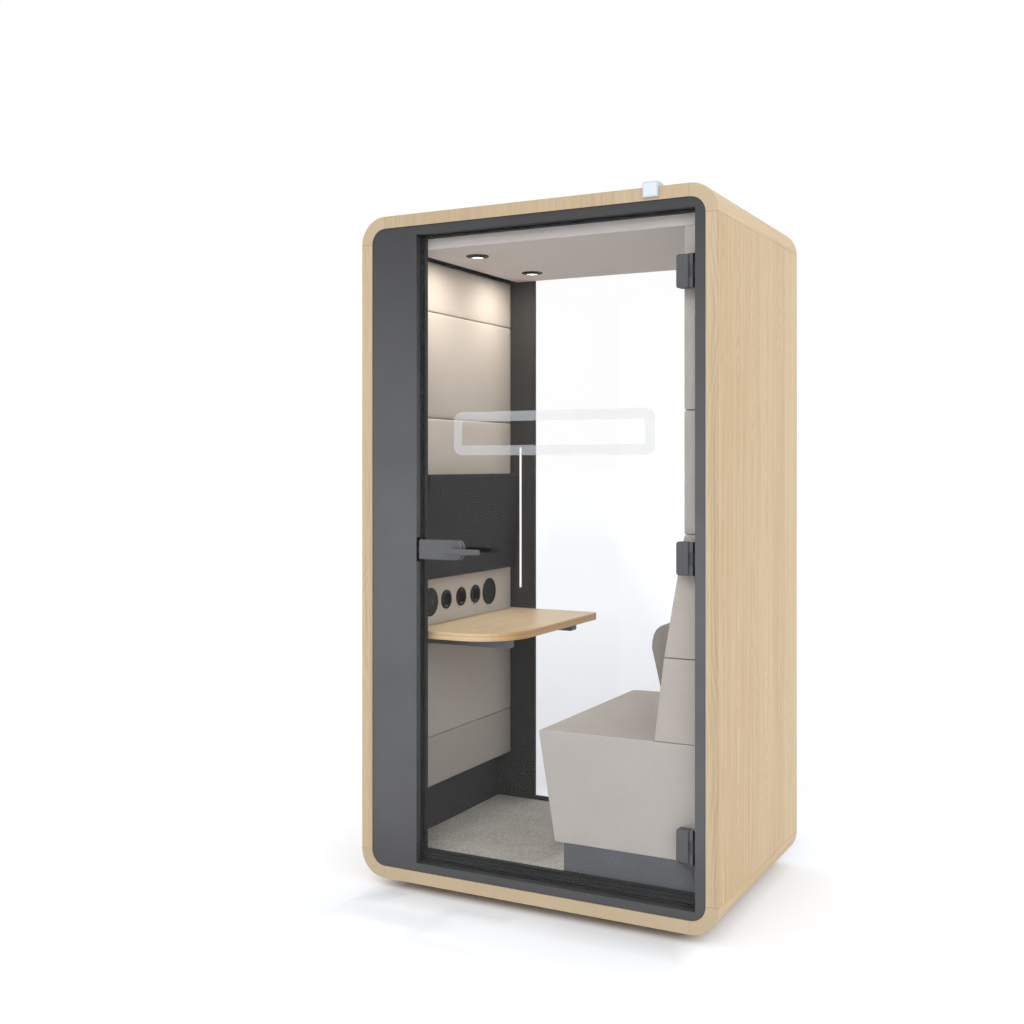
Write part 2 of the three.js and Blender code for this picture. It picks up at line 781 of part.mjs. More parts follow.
// A padded panel hangs on a wall board, with its room-side edges rounded
function paddedPanel(side, low, high) {
  const outline =
    side < 0
      ? roundedOutline(-boardFace, -panelFace, low, high - panelSeam, [0, panelEdge, panelEdge, 0])
      : roundedOutline(panelFace, boardFace, low, high - panelSeam, [panelEdge, 0, 0, panelEdge]);
  return alongY(outline, interiorFront + rest, interiorBack - rest, soft(panelEndEdge));
}

function outletPlaces() {
  return {
    sockets: [-1, 0, 1].map((step) => outletCentreY + step * socketPitch),
    dial: outletCentreY - roundPlateOffset,
    port: outletCentreY + roundPlateOffset,
  };
}

function leftPanels() {
  const { sockets, dial, port } = outletPlaces();
  const wallEnd = -boardFace - overshoot;
  const roomEnd = -panelFace + overshoot;
  const armCut = armWidth / 2 + boardFit;
  panelBands(leftPanelBottom, ceilingFace - ventDrop).forEach(([low, high], index) => {
    const tools = [];
    if (low < outletHeight && outletHeight < high) {
      sockets.forEach((y) =>
        tools.push(rodX(socketBodyRadius + bodyFit, y, outletHeight, wallEnd, roomEnd)),
      );
      [dial, port].forEach((y) =>
        tools.push(rodX(roundPlateBodyRadius + bodyFit, y, outletHeight, wallEnd, roomEnd)),
      );
    }
    if (low < deskUnder && deskUnder < high) {
      Object.values(armPlaces).forEach((y) =>
        tools.push(block(wallEnd, roomEnd, y - armCut, y + armCut, deskUnder - armHeight - boardFit, high)),
      );
    }
    const panel = paddedPanel(-1, low, high);
    add(`left_panel_${index + 1}`, tools.length ? cut(panel, ...tools) : panel, 'felt');
  });
}

// Bench: dark plinth, upholstered seat with a sloping front, two backrest wedges and a lumbar pad
function backSeams() {
  const seams = panelBands(seatTop, ceilingFace).map(([low]) => low);
  return { middle: seams[1], top: seams[2] };
}

function backFace(height) {
  const { middle, top } = backSeams();
  const lower = (height - seatTop) / (middle - seatTop);
  const upper = (height - middle) / (top - middle);
  const thickness =
    height < middle
      ? THREE.MathUtils.lerp(backFoot, backMiddle, lower)
      : THREE.MathUtils.lerp(backMiddle, panelThickness, upper);
  return boardFace - thickness;
}

function bench() {
  const front = interiorFront + rest;
  const back = interiorBack - rest;
  const plinthFront = seatFront + seatRake + plinthInset;
  add('seat_plinth', block(plinthFront, boardFace - rest, front, back, carpetTop, seatUnder), 'board');

  const seat = new THREE.Shape();
  const shoulder = seatTop - seatCrown;
  const slope = seatRake / (shoulder - seatUnder);
  const crownEnd = backFace(seatTop);
  seat.moveTo(boardFace - rest, seatUnder);
  seat.lineTo(boardFace - rest, seatTop);
  seat.lineTo(crownEnd, seatTop);
  seat.bezierCurveTo(
    (seatFront + crownEnd) / 2, seatTop, seatFront + seatShoulder, seatTop, seatFront + seatEdge, shoulder,
  );
  seat.quadraticCurveTo(seatFront, shoulder - seatBrow, seatFront + slope * seatEdge, shoulder - seatEdge);
  seat.lineTo(seatFront + seatRake - slope * seatEdge, seatUnder + seatEdge);
  seat.quadraticCurveTo(seatFront + seatRake, seatUnder, seatFront + seatRake + seatEdge, seatUnder);
  add('seat_block', alongY(seat, front, back, soft(panelEndEdge, curveSteps)), 'felt');
}

function backrest() {
  const { middle, top } = backSeams();
  const front = interiorFront + rest;
  const back = interiorBack - rest;
  const wedge = (low, high) => {
    const shape = new THREE.Shape();
    shape.moveTo(boardFace, low);
    shape.lineTo(boardFace, high);
    shape.lineTo(backFace(high) + panelEdge, high);
    shape.quadraticCurveTo(backFace(high), high, backFace(high - panelEdge), high - panelEdge);
    shape.lineTo(backFace(low + panelEdge), low + panelEdge);
    shape.quadraticCurveTo(backFace(low), low, backFace(low) + panelEdge, low);
    return alongY(shape, front, back, soft(panelEndEdge, curveSteps / 2));
  };
  add('backrest_lower', wedge(seatTop + rest, middle - panelSeam), 'felt');
  add('backrest_upper', wedge(middle, top - panelSeam), 'felt');

  const belly = backFace(seatTop) - padReach;
  const foot = seatTop + padFootRise;
  const peak = seatTop + padTopRise;
  const behind = (height) => backFace(height) - rest;
  const pad = new THREE.Shape();
  pad.moveTo(behind(foot), foot);
  pad.lineTo(behind(middle), middle);
  pad.lineTo(behind(peak), peak);
  pad.lineTo(belly + padTopRound, peak);
  pad.quadraticCurveTo(belly, peak, belly, seatTop + padBellyRise);
  pad.lineTo(behind(foot) - padEdge, foot);
  const centre = (interiorFront + interiorBack) / 2;
  const padEnds = [centre - padWidth / 2, centre + padWidth / 2];
  add('lumbar_pad', alongY(pad, ...padEnds, soft(padEndEdge, curveSteps)), 'felt');
}

function rightPanels() {
  const { top } = backSeams();
  panelBands(top, ceilingFace).forEach(([low, high], index) => {
    add(`right_panel_${index + 1}`, paddedPanel(1, low, high), 'felt');
  });
}

// Ceiling panel beside the air slot, with two downlights in it
function ceiling() {
  const lampX = -panelFace + lampFromWall;
  const lamps = { front: lampCentreY - lampSpacing / 2, rear: lampCentreY + lampSpacing / 2 };
  const outline = roundedOutline(
    -panelFace + ventWidth, boardFace - rest, ceilingFace, ceilingTop, [panelEdge, 0, 0, 0],
  );
  const panel = alongY(outline, interiorFront + rest, interiorBack - rest);
  const holes = Object.values(lamps).map((y) =>
    rodZ(lampBodyRadius + bodyFit, lampX, y, ceilingFace - overshoot, ceilingTop + overshoot),
  );
  add('ceiling_panel', cut(panel, ...holes), 'felt');

  for (const [place, y] of Object.entries(lamps)) {
    const lamp = turned(
      [
        [0, lampLensRecess],
        [lampLensRadius, lampLensRecess],
        [lampLensRadius + lampRim, 0],
        [lampRadius - rimChamfer, 0],
        [lampRadius, lampRim],
        [lampBodyRadius, lampRim],
        [lampBodyRadius, lampBodyHeight],
        [0, lampBodyHeight],
      ],
      wideRound,
    );
    const upright = lamp.rotateX(Math.PI / 2).translate(lampX, y, ceilingFace - lampRim);
    add(`downlight_${place}`, upright, 'black');
  }
}

// Exhaust fan under the slots in the roof
function fan() {
  const low = innerTop - fanHeight;
  const half = fanSize / 2;
  const outline = roundedOutline(fanX - half, fanX + half, fanY - half, fanY + half, fanStrut);
  const bore = new THREE.Path();
  bore.absarc(fanX, fanY, fanBore, 0, 2 * Math.PI);
  outline.holes.push(bore);
  const struts = [0, Math.PI / 2].map((turn) => {
    const bar = new THREE.BoxGeometry(2 * fanBore + fanFloor, fanStrut, fanFloor);
    return bar.rotateZ(turn + Math.PI / 4).translate(fanX, fanY, low + fanFloor / 2);
  });
  const centre = rodZ(fanHub, fanX, fanY, low, low + fanFloor);
  const shaft = rodZ(fanShaft, fanX, fanY, low + fanFloor / 2, innerTop - fanFloor);
  add('fan_housing', join(alongZ(outline, low, innerTop, ring), ...struts, centre, shaft), 'black');

  const rotorLow = low + fanFloor + rest;
  const rotorHigh = innerTop - fanFloor;
  const rotorMiddle = (rotorLow + rotorHigh) / 2;
  const pitch = THREE.MathUtils.degToRad(fanBladePitch);
  const bladeWidth = (rotorHigh - rotorLow - fanBladeThickness) / Math.sin(pitch) - fanBladeFit;
  const blades = Array.from({ length: fanBladeCount }, (_, index) => {
    const root = fanHub - fanBladeThickness;
    const blade = new THREE.BoxGeometry(fanTip - root, bladeWidth, fanBladeThickness);
    blade.rotateX(pitch).translate((root + fanTip) / 2, 0, 0);
    return blade.rotateZ((index * 2 * Math.PI) / fanBladeCount).translate(fanX, fanY, rotorMiddle);
  });
  const hub = rodZ(fanHub, fanX, fanY, rotorLow, rotorHigh, wideRound);
  const hubBore = rodZ(fanShaft + runningFit, fanX, fanY, rotorLow - overshoot, rotorHigh + overshoot);
  add('fan_rotor', cut(join(hub, ...blades), hubBore), 'black');
}

// Desk top with one large rounded corner, on two arms from the wall board
function desk() {
  const outline = roundedOutline(
    -panelFace + rest, deskEnd, deskFront, deskBack, [0, deskFrontCorner, deskRearCorner, 0],
  );
  add('desk_top', alongZ(outline, deskUnder, deskTop, large), 'deskOak');
  const armLow = deskUnder - armHeight;
  const tip = deskEnd - armTipInset;
  for (const [place, y] of Object.entries(armPlaces)) {
    const arm = new THREE.Shape();
    arm.moveTo(-boardFace + rest, armLow);
    arm.lineTo(tip - armTipTaper, armLow);
    arm.lineTo(tip, armLow + armTipTaper);
    arm.lineTo(tip, deskUnder);
    arm.lineTo(-boardFace + rest, deskUnder);
    add(`desk_arm_${place}`, alongY(arm, y - armWidth / 2, y + armWidth / 2), 'frame');
  }
}

// Screen on a tilting wall bracket: ears and pin on the wall, lugs on the back of the screen
function screenAndBracket() {
  const halfPlate = bracketPlate / 2;
  const plate = roundedOutline(
    screenCentreY - halfPlate, screenCentreY + halfPlate,
    screenCentreZ - halfPlate, screenCentreZ + halfPlate, bracketThickness,
  );
  const ears = [-1, 1].flatMap((side) => {
    const near = screenCentreY + (side * bracketEarSpan) / 2 - bracketEar / 2;
    const far = near + bracketEar;
    return [
      rodY(lugRadius, screenPivotX, screenCentreZ, near, far),
      block(
        -panelFace + overlap, screenPivotX, near, far, screenCentreZ - lugRadius, screenCentreZ + lugRadius,
      ),
    ];
  });
  const reach = bracketEarSpan / 2;
  const pin = rodY(bracketPinRadius, screenPivotX, screenCentreZ, screenCentreY - reach, screenCentreY + reach);
  const wallPlate = alongX(plate, -panelFace, -panelFace + bracketThickness);
  add('screen_bracket', join(wallPlate, ...ears, pin), 'fitting');

  screen.position.set(screenPivotX, screenCentreY, screenCentreZ);
  screen.rotation.y = screenTilt;
  const outline = (width, height, radius) =>
    roundedOutline(-width / 2, width / 2, -height / 2, height / 2, radius);
  const slab = alongX(
    outline(screenWidth, screenHeight, screenCorner),
    screenStandoff, screenStandoff + screenThickness, { edge: screenEdge },
  );
  const housing = alongX(
    outline(backHousingWidth, backHousingHeight, screenCorner),
    screenStandoff - backHousingDepth, screenStandoff + overlap,
  );
  const lugs = [-1, 1].flatMap((side) => {
    const near = (side * lugSpan) / 2 - lugThickness / 2;
    const far = near + lugThickness;
    return [
      rodY(lugRadius, 0, 0, near, far),
      block(0, screenStandoff - backHousingDepth + overlap, near, far, -lugRadius, lugRadius),
    ];
  });
  const bore = rodY(bracketPinRadius + runningFit, 0, 0, -lugSpan, lugSpan);
  add('screen', cut(join(slab, housing, ...lugs), bore), 'black', screen);
}

// Round outlets: three power sockets between a control dial and a port cover
function outlets() {
  const { sockets, dial, port } = outletPlaces();
  sockets.forEach((y, index) => {
    const socket = turned(
      [
        [0, -socketBodyDepth],
        [socketBodyRadius, -socketBodyDepth],
        [socketBodyRadius, rest],
        [socketRadius, rest],
        [socketRadius, socketRim - rimChamfer],
        [socketRadius - rimChamfer, socketRim],
        [socketRecessRadius, socketRim],
        [socketRecessRadius, socketRim - socketRecessDepth],
        [0, socketRim - socketRecessDepth],
      ],
      wideRound,
    );
    add(`power_socket_${index + 1}`, facingX(socket, -panelFace, y, outletHeight), 'black');
  });

  const plateBack = [
    [0, -roundPlateBodyDepth],
    [roundPlateBodyRadius, -roundPlateBodyDepth],
    [roundPlateBodyRadius, rest],
    [roundPlateRadius, rest],
    [roundPlateRadius, roundPlateRim - rimChamfer],
    [roundPlateRadius - rimChamfer, roundPlateRim],
  ];
  const dialFront = [
    [dialGrip + rimChamfer, roundPlateRim],
    [dialGrip, roundPlateRim + dialGripHeight - rimChamfer],
    [dialGrip - rimChamfer, roundPlateRim + dialGripHeight],
    [0, roundPlateRim + dialGripHeight],
  ];
  const portFront = [
    [roundPlateRadius - roundPlateRim, roundPlateRim],
    [roundPlateRadius - roundPlateRim - rimChamfer, roundPlateRim - roundPlateDish],
    [0, roundPlateRim - roundPlateDish],
  ];
  const dialPiece = turned([...plateBack, ...dialFront], wideRound);
  const portPiece = turned([...plateBack, ...portFront], wideRound);
  add('control_dial', facingX(dialPiece, -panelFace, dial, outletHeight), 'black');
  add('port_cover', facingX(portPiece, -panelFace, port, outletHeight), 'black');
}

// Occupancy light hooked over the top front edge of the shell
function occupancyLight() {
  const face = frontY - signProud;
  const top = shellHeight + signRise;
  const hook = new THREE.Shape();
  hook.moveTo(face, shellHeight - signDrop);
  hook.lineTo(frontY - rest, shellHeight - signDrop);
  hook.lineTo(frontY - rest, shellHeight + rest);
  hook.lineTo(frontY + signRun, shellHeight + rest);
  hook.lineTo(frontY + signRun, top);
  hook.lineTo(face, top);
  const centre = outerX - signFromRight;
  const signEnds = [centre - signWidth / 2, centre + signWidth / 2];
  add('occupancy_light', alongX(hook, ...signEnds, { edge: signEdge }), 'white');
}

shellPanels();
shellCorners();
frontFrame();
doorStop();
doorGlass();
hinges();
lock();
backWall();
boards();
leftPanels();
bench();
backrest();
rightPanels();
ceiling();
fan();
desk();
screenAndBracket();
outlets();
occupancyLight();

pod.add(door);
pod.add(screen);
pod.position.set(0, leverProjection / 2, footHeight);

const acousticPod = new THREE.Group();
acousticPod.add(pod);

export default acousticPod;
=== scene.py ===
"""Looks of a one-person acoustic office pod: oak, powder coat, fabric, glass and carpet."""
import json
import math

import bmesh
import bpy
from mathutils import Matrix, Vector


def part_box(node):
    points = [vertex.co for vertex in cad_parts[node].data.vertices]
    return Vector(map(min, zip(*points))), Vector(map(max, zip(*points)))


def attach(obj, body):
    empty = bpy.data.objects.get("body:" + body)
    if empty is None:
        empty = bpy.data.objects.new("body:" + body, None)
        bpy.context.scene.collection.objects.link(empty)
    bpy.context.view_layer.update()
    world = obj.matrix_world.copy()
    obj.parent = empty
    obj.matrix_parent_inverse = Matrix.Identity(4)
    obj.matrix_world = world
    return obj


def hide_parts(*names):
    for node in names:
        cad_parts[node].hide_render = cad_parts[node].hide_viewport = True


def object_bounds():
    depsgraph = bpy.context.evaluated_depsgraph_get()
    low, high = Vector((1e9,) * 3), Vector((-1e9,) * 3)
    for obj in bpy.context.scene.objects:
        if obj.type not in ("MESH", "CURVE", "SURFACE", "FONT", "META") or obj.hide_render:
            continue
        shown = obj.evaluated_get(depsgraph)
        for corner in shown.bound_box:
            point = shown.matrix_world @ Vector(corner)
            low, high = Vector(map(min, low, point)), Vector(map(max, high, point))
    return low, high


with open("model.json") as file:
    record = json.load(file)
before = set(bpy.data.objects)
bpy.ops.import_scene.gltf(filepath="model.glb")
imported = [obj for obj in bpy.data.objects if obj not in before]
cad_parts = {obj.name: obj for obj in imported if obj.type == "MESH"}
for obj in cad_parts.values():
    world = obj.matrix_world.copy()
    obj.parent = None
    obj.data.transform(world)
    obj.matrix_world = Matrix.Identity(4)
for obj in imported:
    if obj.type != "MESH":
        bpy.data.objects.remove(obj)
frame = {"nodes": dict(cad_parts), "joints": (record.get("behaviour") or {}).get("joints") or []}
cad_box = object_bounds()
nodes = frame["nodes"]
joints = {joint["name"]: joint for joint in frame["joints"]}

# Camera, from the photograph: focal length and horizon in pixels of a square picture
PHOTO_SIZE = 1024
FOCAL_PIXELS = 1228.4
HORIZON_PIXEL = 465.1
SENSOR = 36.0
CAMERA_PLACE = (1.7536, -3.8486, 1.4079)
CAMERA_TURN = math.radians(27.74)

# Pads, in metres: the round of their ends, how far they swell and how far apart their points are
PANEL_EDGE = 0.0025
LUMBAR_EDGE = 0.005
CEILING_EDGE = 0.002
PANEL_CROWN = 0.002
BACK_CROWN = 0.003
SEAT_CROWN = 0.004
LUMBAR_CROWN = 0.006
PAD_STEP = 0.022
EDGE_ANGLES = (0, 22.5, 45, 67.5)
CAP_SHARES = (0.93, 0.75, 0.5, 0.25)
CAP_RIM = 0.9
SAME_DEPTH = 1e-4
SCREEN_PANEL = "left_panel_4"
TOP_PANEL_RISE = 0.0045
TOP_EDGE_ZONE = 0.012

# Directions in which a pad has something behind it, as x and z, and how squarely a side has to look that way
LEFT = (-1, 0)
RIGHT = (1, 0)
DOWN = (0, -1)
UP = (0, 1)
SQUARE_ON = 0.9

# Cloth that is blown up to swell the pads
CLOTH_PRESSURE = 4.0
CLOTH_MASS = 0.3
CLOTH_QUALITY = 5
CLOTH_FRAMES = 20
LEAST_MOVE = 1e-6

# Holes and slots cut into the pads, in metres
SOCKET_HOLE_RADIUS = 0.030
PLATE_HOLE_RADIUS = 0.031
LAMP_HOLE_RADIUS = 0.032
CUTTER_LENGTH = 0.3
CUTTER_SIDES = 48
ARM_SLOT_ROOM = 0.0006
ARM_SLOT_REACH = 0.1
ARM_SLOT_ABOVE = 0.02

# Carpet pile, in metres, and the two waves over a grid of width and depth 1 that make it uneven
PILE_STEP = 0.008
PILE_DEPTH = 0.0009
PILE_WAVES = ((913.0, 271.0), (-389.0, 1171.0))
GRID_HALF = 0.5
GRID_RIM = 0.4999

# Safety ring on the door glass, in metres
RING_LEFT = -0.281
RING_RIGHT = 0.418
RING_LOW = 1.4395
RING_HIGH = 1.5805
RING_BAND = 0.032
RING_CORNER = 0.030
RING_INNER_CORNER = 0.003
RING_CORNER_STEPS = 8
FILM = 0.0003

# Lens and collar of the downlights, in metres, and the lens's dome as shares of its radius and its crown
LENS_RADIUS = 0.0215
LENS_CROWN = 0.0006
LENS_SET_BACK = 0.001
LENS_DOME = [(0.92, 0.6)] + [(share, 1 - 0.4 * share ** 2) for share in (0.7, 0.4)]
COLLAR_DROP = 0.004
COLLAR_WALL = 0.0012
LAMP_SEAT = 0.003
LAMP_SIDES = 40

# Display, sockets, dial and occupancy light, in metres
FACE_PLATE = 0.0006
DISPLAY_SIDE_BORDER = 0.007
DISPLAY_TOP_BORDER = 0.008
DISPLAY_CORNER = 0.003
DISPLAY_CORNER_STEPS = 4
SOCKET_RECESS = 0.017
RECESS_CLEARANCE = 0.0002
CONTACT_WIDTH = 0.006
CONTACT_LENGTH = 0.0165
CONTACT_CORNER = 0.001
CONTACT_CORNER_STEPS = 3
CONTACT_THICKNESS = 0.0011
CONTACT_OFFSET = 0.0226
WELL_OUTER_RADIUS = 0.0042
WELL_INNER_RADIUS = 0.0027
WELL_HEIGHT = 0.0014
WELL_OFFSET = 0.0095
WELL_SIDES = 20
MARK_WIDTH = 0.0018
MARK_LENGTH = 0.017
MARK_CORNER = 0.0008
MARK_CORNER_STEPS = 4
MARK_THICKNESS = 0.0004
SIGN_BORDER = 0.004
SIGN_CORNER = 0.003
SIGN_CORNER_STEPS = 5

# Oak, in metres, and its patterns per metre along the grain, across it and into the wood
VENEER_LEAF = 0.15
CORNER_LEAF = 0.7
DESK_LEAF = 0.6
LEAF_SHIFT = 40.0
GROWTH_RING = 0.011
RING_WANDER = 0.022
HEART_DRIFT = 0.55
HEART_RUN = 0.8
OAK_WANDER = (5.0, 14.0)
OAK_STREAKS = (1.6, 95.0, 6.0)
OAK_FLECKS = (9.0, 210.0)
OAK_PORES = (26.0, 820.0, 20.0)
EDGE_GRAIN = 30.0
DESK_LAYERS = 260.0
FEET_TOP = 0.0279

# Shares that the oak's patterns have in its tone, and the range of the noise that counts as a pore
LONG_STREAK_SHARE = 0.72
FLECK_SHARE = 0.28
STREAK_SHARE = 0.95
LEAF_SHARE = 0.16
PORE_SHARE = 0.34
PORE_DEPTH = 0.5
PORE_RANGE = (0.62, 0.74)

# Fabric, carpet and coats, in metres, their grain per metre, and shares and ranges of their tone
WEAVE_PITCH = 0.0075
THREADS = 420.0
DOT_SHARE = 0.30
THREAD_SHARE = 0.08
FABRIC_CLOUDS = 9.0
FABRIC_CLOUD_RANGE = (0.19, 0.37)
# Painted shade along the seams where pads meet: darkest within SEAM_CORE, fading out by SEAM_SHADE
SEAM_CORE = 0.0008
SEAM_SHADE = 0.0032
SEAM_PAINTED_SHADE_TONE = 0.35
TUFTS = 260.0
TUFT_RANGE = (0.16, 0.60)
CARPET_CLOUDS = 14.0
CARPET_CLOUD_SHARE = 0.35
# HINGE_GAP: how far past the hinge axis the painted shade in the hinge gap begins
HINGE_GAP = 0.0055
COAT_GRAIN = 240.0
COAT_CLOUDS = 6.0
COAT_LIGHTER = 1.14
COAT_GLOSS_RANGE = 0.06
FEET_GRAIN = 400.0
LENS_GRAIN = 500.0
LENS_RANGE = 0.03
FILM_GRAIN = 700.0
FILM_RANGE = (0.19, 0.23)
DISPLAY_GRAIN = 1200.0

# Painted light and shade on the front frame, as shares of the pod's height and of its colour: darker at its
# foot and head, lighter at mid height
POD_HEIGHT = cad_box[1][2]
FRAME_PAINTED_LIGHT_AND_SHADE = ((0.04, 0.72), (0.15, 1.0), (0.5, 1.12), (0.8, 0.78), (0.98, 0.42))

# How squarely a face has to look along an axis, and the usual range of a noise
FRONT_FACING = 0.6
HALF_FACING = 0.5
NOISE_LOW = 0.3
NOISE_HIGH = 0.7

# Floor, in metres: where it gets lighter, as from, to and by how much, which lightens the rendered shadow
# next to the pod; behind the pod a long shadow is painted
FLOOR_SIZE = 600
SIDE_LIFT = ((-0.14, -0.05, 0.24), (0.1, 0.5, 0.06))
FRONT_LIFT = ((-0.01, 0.11, 0.19), (0.11, 0.7, 0.11))
BACK_LIFT = ((0.0, 0.4, 0.3),)
SHADOW_LIFT = ((3.0, 8.0, 0.16), (8.0, 30.0, 0.10))
SHADOW_TURN = math.radians(28)
SHADOW_DRIFT = 0.055
SHADOW_SHIFT = 0.07
SHADOW_EDGE = (0.55, 1.15)
SHADOW_START = (0.6, 1.2)

# Light: soft boxes as place, target, size and power, and the lamps in the ceiling
AMBIENT = 1.07
SOFT_BOXES = {
    "key": ((4.6, -4.4, 4.2), (0, 0, 1.1), 3.2, 50),
    "side": ((5.6, 0.3, 3.4), (0.6, 0, 1.1), 3.0, 25),
    "front": ((0.7, -5.2, 5.0), (0, 0, 1.0), 3.0, 74),
}
GLOW_POWER = 2.15
GLOW_COLOUR = (1.0, 0.90, 0.80)
BEAM_POWER = 18.0
BEAM_COLOUR = (1.0, 0.96, 0.91)
BEAM_ANGLE = math.radians(48)
LIGHT_BELOW_COLLAR = 0.001


# Small tools
def numbered(prefix):
    """Names of the solids that share a prefix, in the order of their numbers."""
    return sorted(name for name in nodes if name.startswith(prefix))


def hex_colour(code):
    """A colour written as six hexadecimal digits, as linear light."""
    shares = [int(code[i:i + 2], 16) / 255 for i in (0, 2, 4)]
    return [s / 12.92 if s < 0.04045 else ((s + 0.055) / 1.055) ** 2.4 for s in shares] + [1.0]


def toned(colour, factor):
    """A colour made lighter or darker."""
    return [min(1.0, share * factor) for share in colour[:3]] + [1.0]


def join_rings(bm, rings, closed=False):
    """Faces between each ring of points and the next, and from the last to the first when closed."""
    following = rings[1:] + rings[:1] if closed else rings[1:]
    for near, far in zip(rings, following):
        for i in range(len(near)):
            j = (i + 1) % len(near)
            bm.faces.new((near[i], near[j], far[j], far[i]))


def add_piece(name, bm, body, look, smooth=True):
    """Turns an edit mesh into a piece with its faces pointing out, on a body, with its material."""
    bmesh.ops.recalc_face_normals(bm, faces=bm.faces)
    mesh = bpy.data.meshes.new(name)
    bm.to_mesh(mesh)
    bm.free()
    if smooth:
        mesh.shade_smooth()
    mesh.materials.append(looks[look])
    piece = bpy.data.objects.new(name, mesh)
    bpy.context.scene.collection.objects.link(piece)
    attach(piece, body)
    return piece


# Materials
class Look:
    """A node material: one Principled shader, and short ways to wire what feeds it."""

    def __init__(self, name, sockets):
        self.material = bpy.data.materials.new(name)
        self.material.use_nodes = True
        self.nodes = self.material.node_tree.nodes
        self.links = self.material.node_tree.links
        self.nodes.clear()
        self.output = self.nodes.new("ShaderNodeOutputMaterial")
        self.shader = self.nodes.new("ShaderNodeBsdfPrincipled")
        self.links.new(self.shader.outputs[0], self.output.inputs["Surface"])
        for socket, value in sockets.items():
            self.feed(socket, value)

    def put(self, socket, value):
        if isinstance(value, bpy.types.NodeSocket):
            self.links.new(value, socket)
        else:
            socket.default_value = value

    def feed(self, socket, value):
        self.put(self.shader.inputs[socket], value)

    def colour(self, value):
        self.feed("Base Color", value)

    def colour_so_far(self):
        return self.shader.inputs["Base Color"].links[0].from_socket

    def rough(self, value):
        self.feed("Roughness", value)

    def bump(self, height, distance, strength=1.0):
        made = self.node("Bump", {"Height": height, "Distance": distance, "Strength": strength})
        self.feed("Normal", made.outputs[0])

    def node(self, kind, inputs=None, **settings):
        made = self.nodes.new("ShaderNode" + kind)
        for key, value in settings.items():
            setattr(made, key, value)
        for key, value in (inputs or {}).items():
            self.put(made.inputs[key], value)
        return made

    def place(self):
        return self.node("TexCoord").outputs["Object"]

    def axes(self):
        return self.node("SeparateXYZ", {0: self.place()}).outputs

    def facing(self):
        normal = self.node("TexCoord").outputs["Normal"]
        return self.node("SeparateXYZ", {0: normal}).outputs

    def facing_either_way(self, axis):
        return self.math("ABSOLUTE", self.facing()[axis])

    def math(self, operation, first, second=0.0):
        return self.node("Math", {0: first, 1: second}, operation=operation).outputs[0]

    def weighted(self, first, first_share, second, second_share):
        parts = self.stretched((first, second), (first_share, second_share))
        return self.math("ADD", *parts)

    def stretched(self, parts, factors):
        return [self.math("MULTIPLY", part, factor) for part, factor in zip(parts, factors)]

    def vector(self, x, y, z):
        return self.node("CombineXYZ", {0: x, 1: y, 2: z}).outputs[0]

    def noise(self, vector, scale, detail=2.0, roughness=0.5):
        inputs = {"Vector": vector, "Scale": scale, "Detail": detail, "Roughness": roughness}
        return self.node("TexNoise", inputs).outputs[0]

    def mix(self, share, first, second, blend="MIX"):
        made = self.node("Mix", {0: share, 6: first, 7: second}, data_type="RGBA", blend_type=blend)
        return made.outputs[2]

    def tinted(self, colour, tint):
        return self.mix(1.0, colour, tint, "MULTIPLY")

    def choose(self, share, first, second):
        return self.node("Mix", {0: share, 2: first, 3: second}, data_type="FLOAT").outputs[0]

    def spread(self, value, low, high, to_low=0.0, to_high=1.0):
        inputs = {0: value, 1: low, 2: high, 3: to_low, 4: to_high}
        return self.node("MapRange", inputs).outputs[0]

    def ranged(self, noise, to_low=0.0, to_high=1.0):
        return self.spread(noise, NOISE_LOW, NOISE_HIGH, to_low, to_high)

    def ramp(self, value, stops):
        made = self.node("ValToRGB", {0: value})
        places = made.color_ramp.elements
        while len(places) < len(stops):
            places.new(0.5)
        for place, (position, colour) in zip(places, stops):
            place.position = position
            place.color = colour
        return made.outputs[0]


OAK_DARK = hex_colour("b49976")
OAK_MIDDLE = hex_colour("c6af91")
OAK_LIGHT = hex_colour("cfbb9e")
OAK_EDGE = hex_colour("b9a78a")
OAK_EDGE_DARK = toned(OAK_EDGE, 0.93)
NO_TINT = [1.0, 1.0, 1.0, 1.0]
OAK_SIDE_TINT = [0.985, 0.98, 0.91, 1.0]
# Painted shade on the front edges of the walls, the roof and the bent corners
WALL_EDGE_PAINTED_SHADE = [0.90, 0.92, 0.95, 1.0]
ROOF_EDGE_PAINTED_SHADE = [0.89, 0.89, 0.89, 1.0]
CORNER_EDGE_PAINTED_SHADE = [0.97, 0.97, 0.97, 1.0]
DESK_TINT = [0.98, 1.03, 1.04, 1.0]
DESK_END_PAINTED_SHADE = [0.87, 0.71, 0.46, 1.0]


def growth_lines(look, run, side, leaf, number, shift):
    """Waves about the heart of each veneer leaf, which wanders along the grain, so that they arch."""
    middle = look.math("MULTIPLY", look.math("ADD", number, 0.5), leaf)
    local = look.math("SUBTRACT", side, middle)
    drift_run = look.math("ADD", look.math("MULTIPLY", run, HEART_RUN), shift)
    drift = look.math("SUBTRACT", look.noise(look.vector(drift_run, number, 0.0), 1.0, 1.0), 0.5)
    heart = look.math("MULTIPLY", drift, HEART_DRIFT)
    squares = [look.math("POWER", distance, 2.0) for distance in (local, heart)]
    wander = look.noise(look.vector(*look.stretched((run, side), OAK_WANDER), shift), 1.0)
    ring = look.math("SQRT", look.math("ADD", *squares))
    ring = look.math("ADD", ring, look.math("MULTIPLY", wander, RING_WANDER))
    return look.math("SINE", look.math("MULTIPLY", ring, 2 * math.pi / GROWTH_RING))


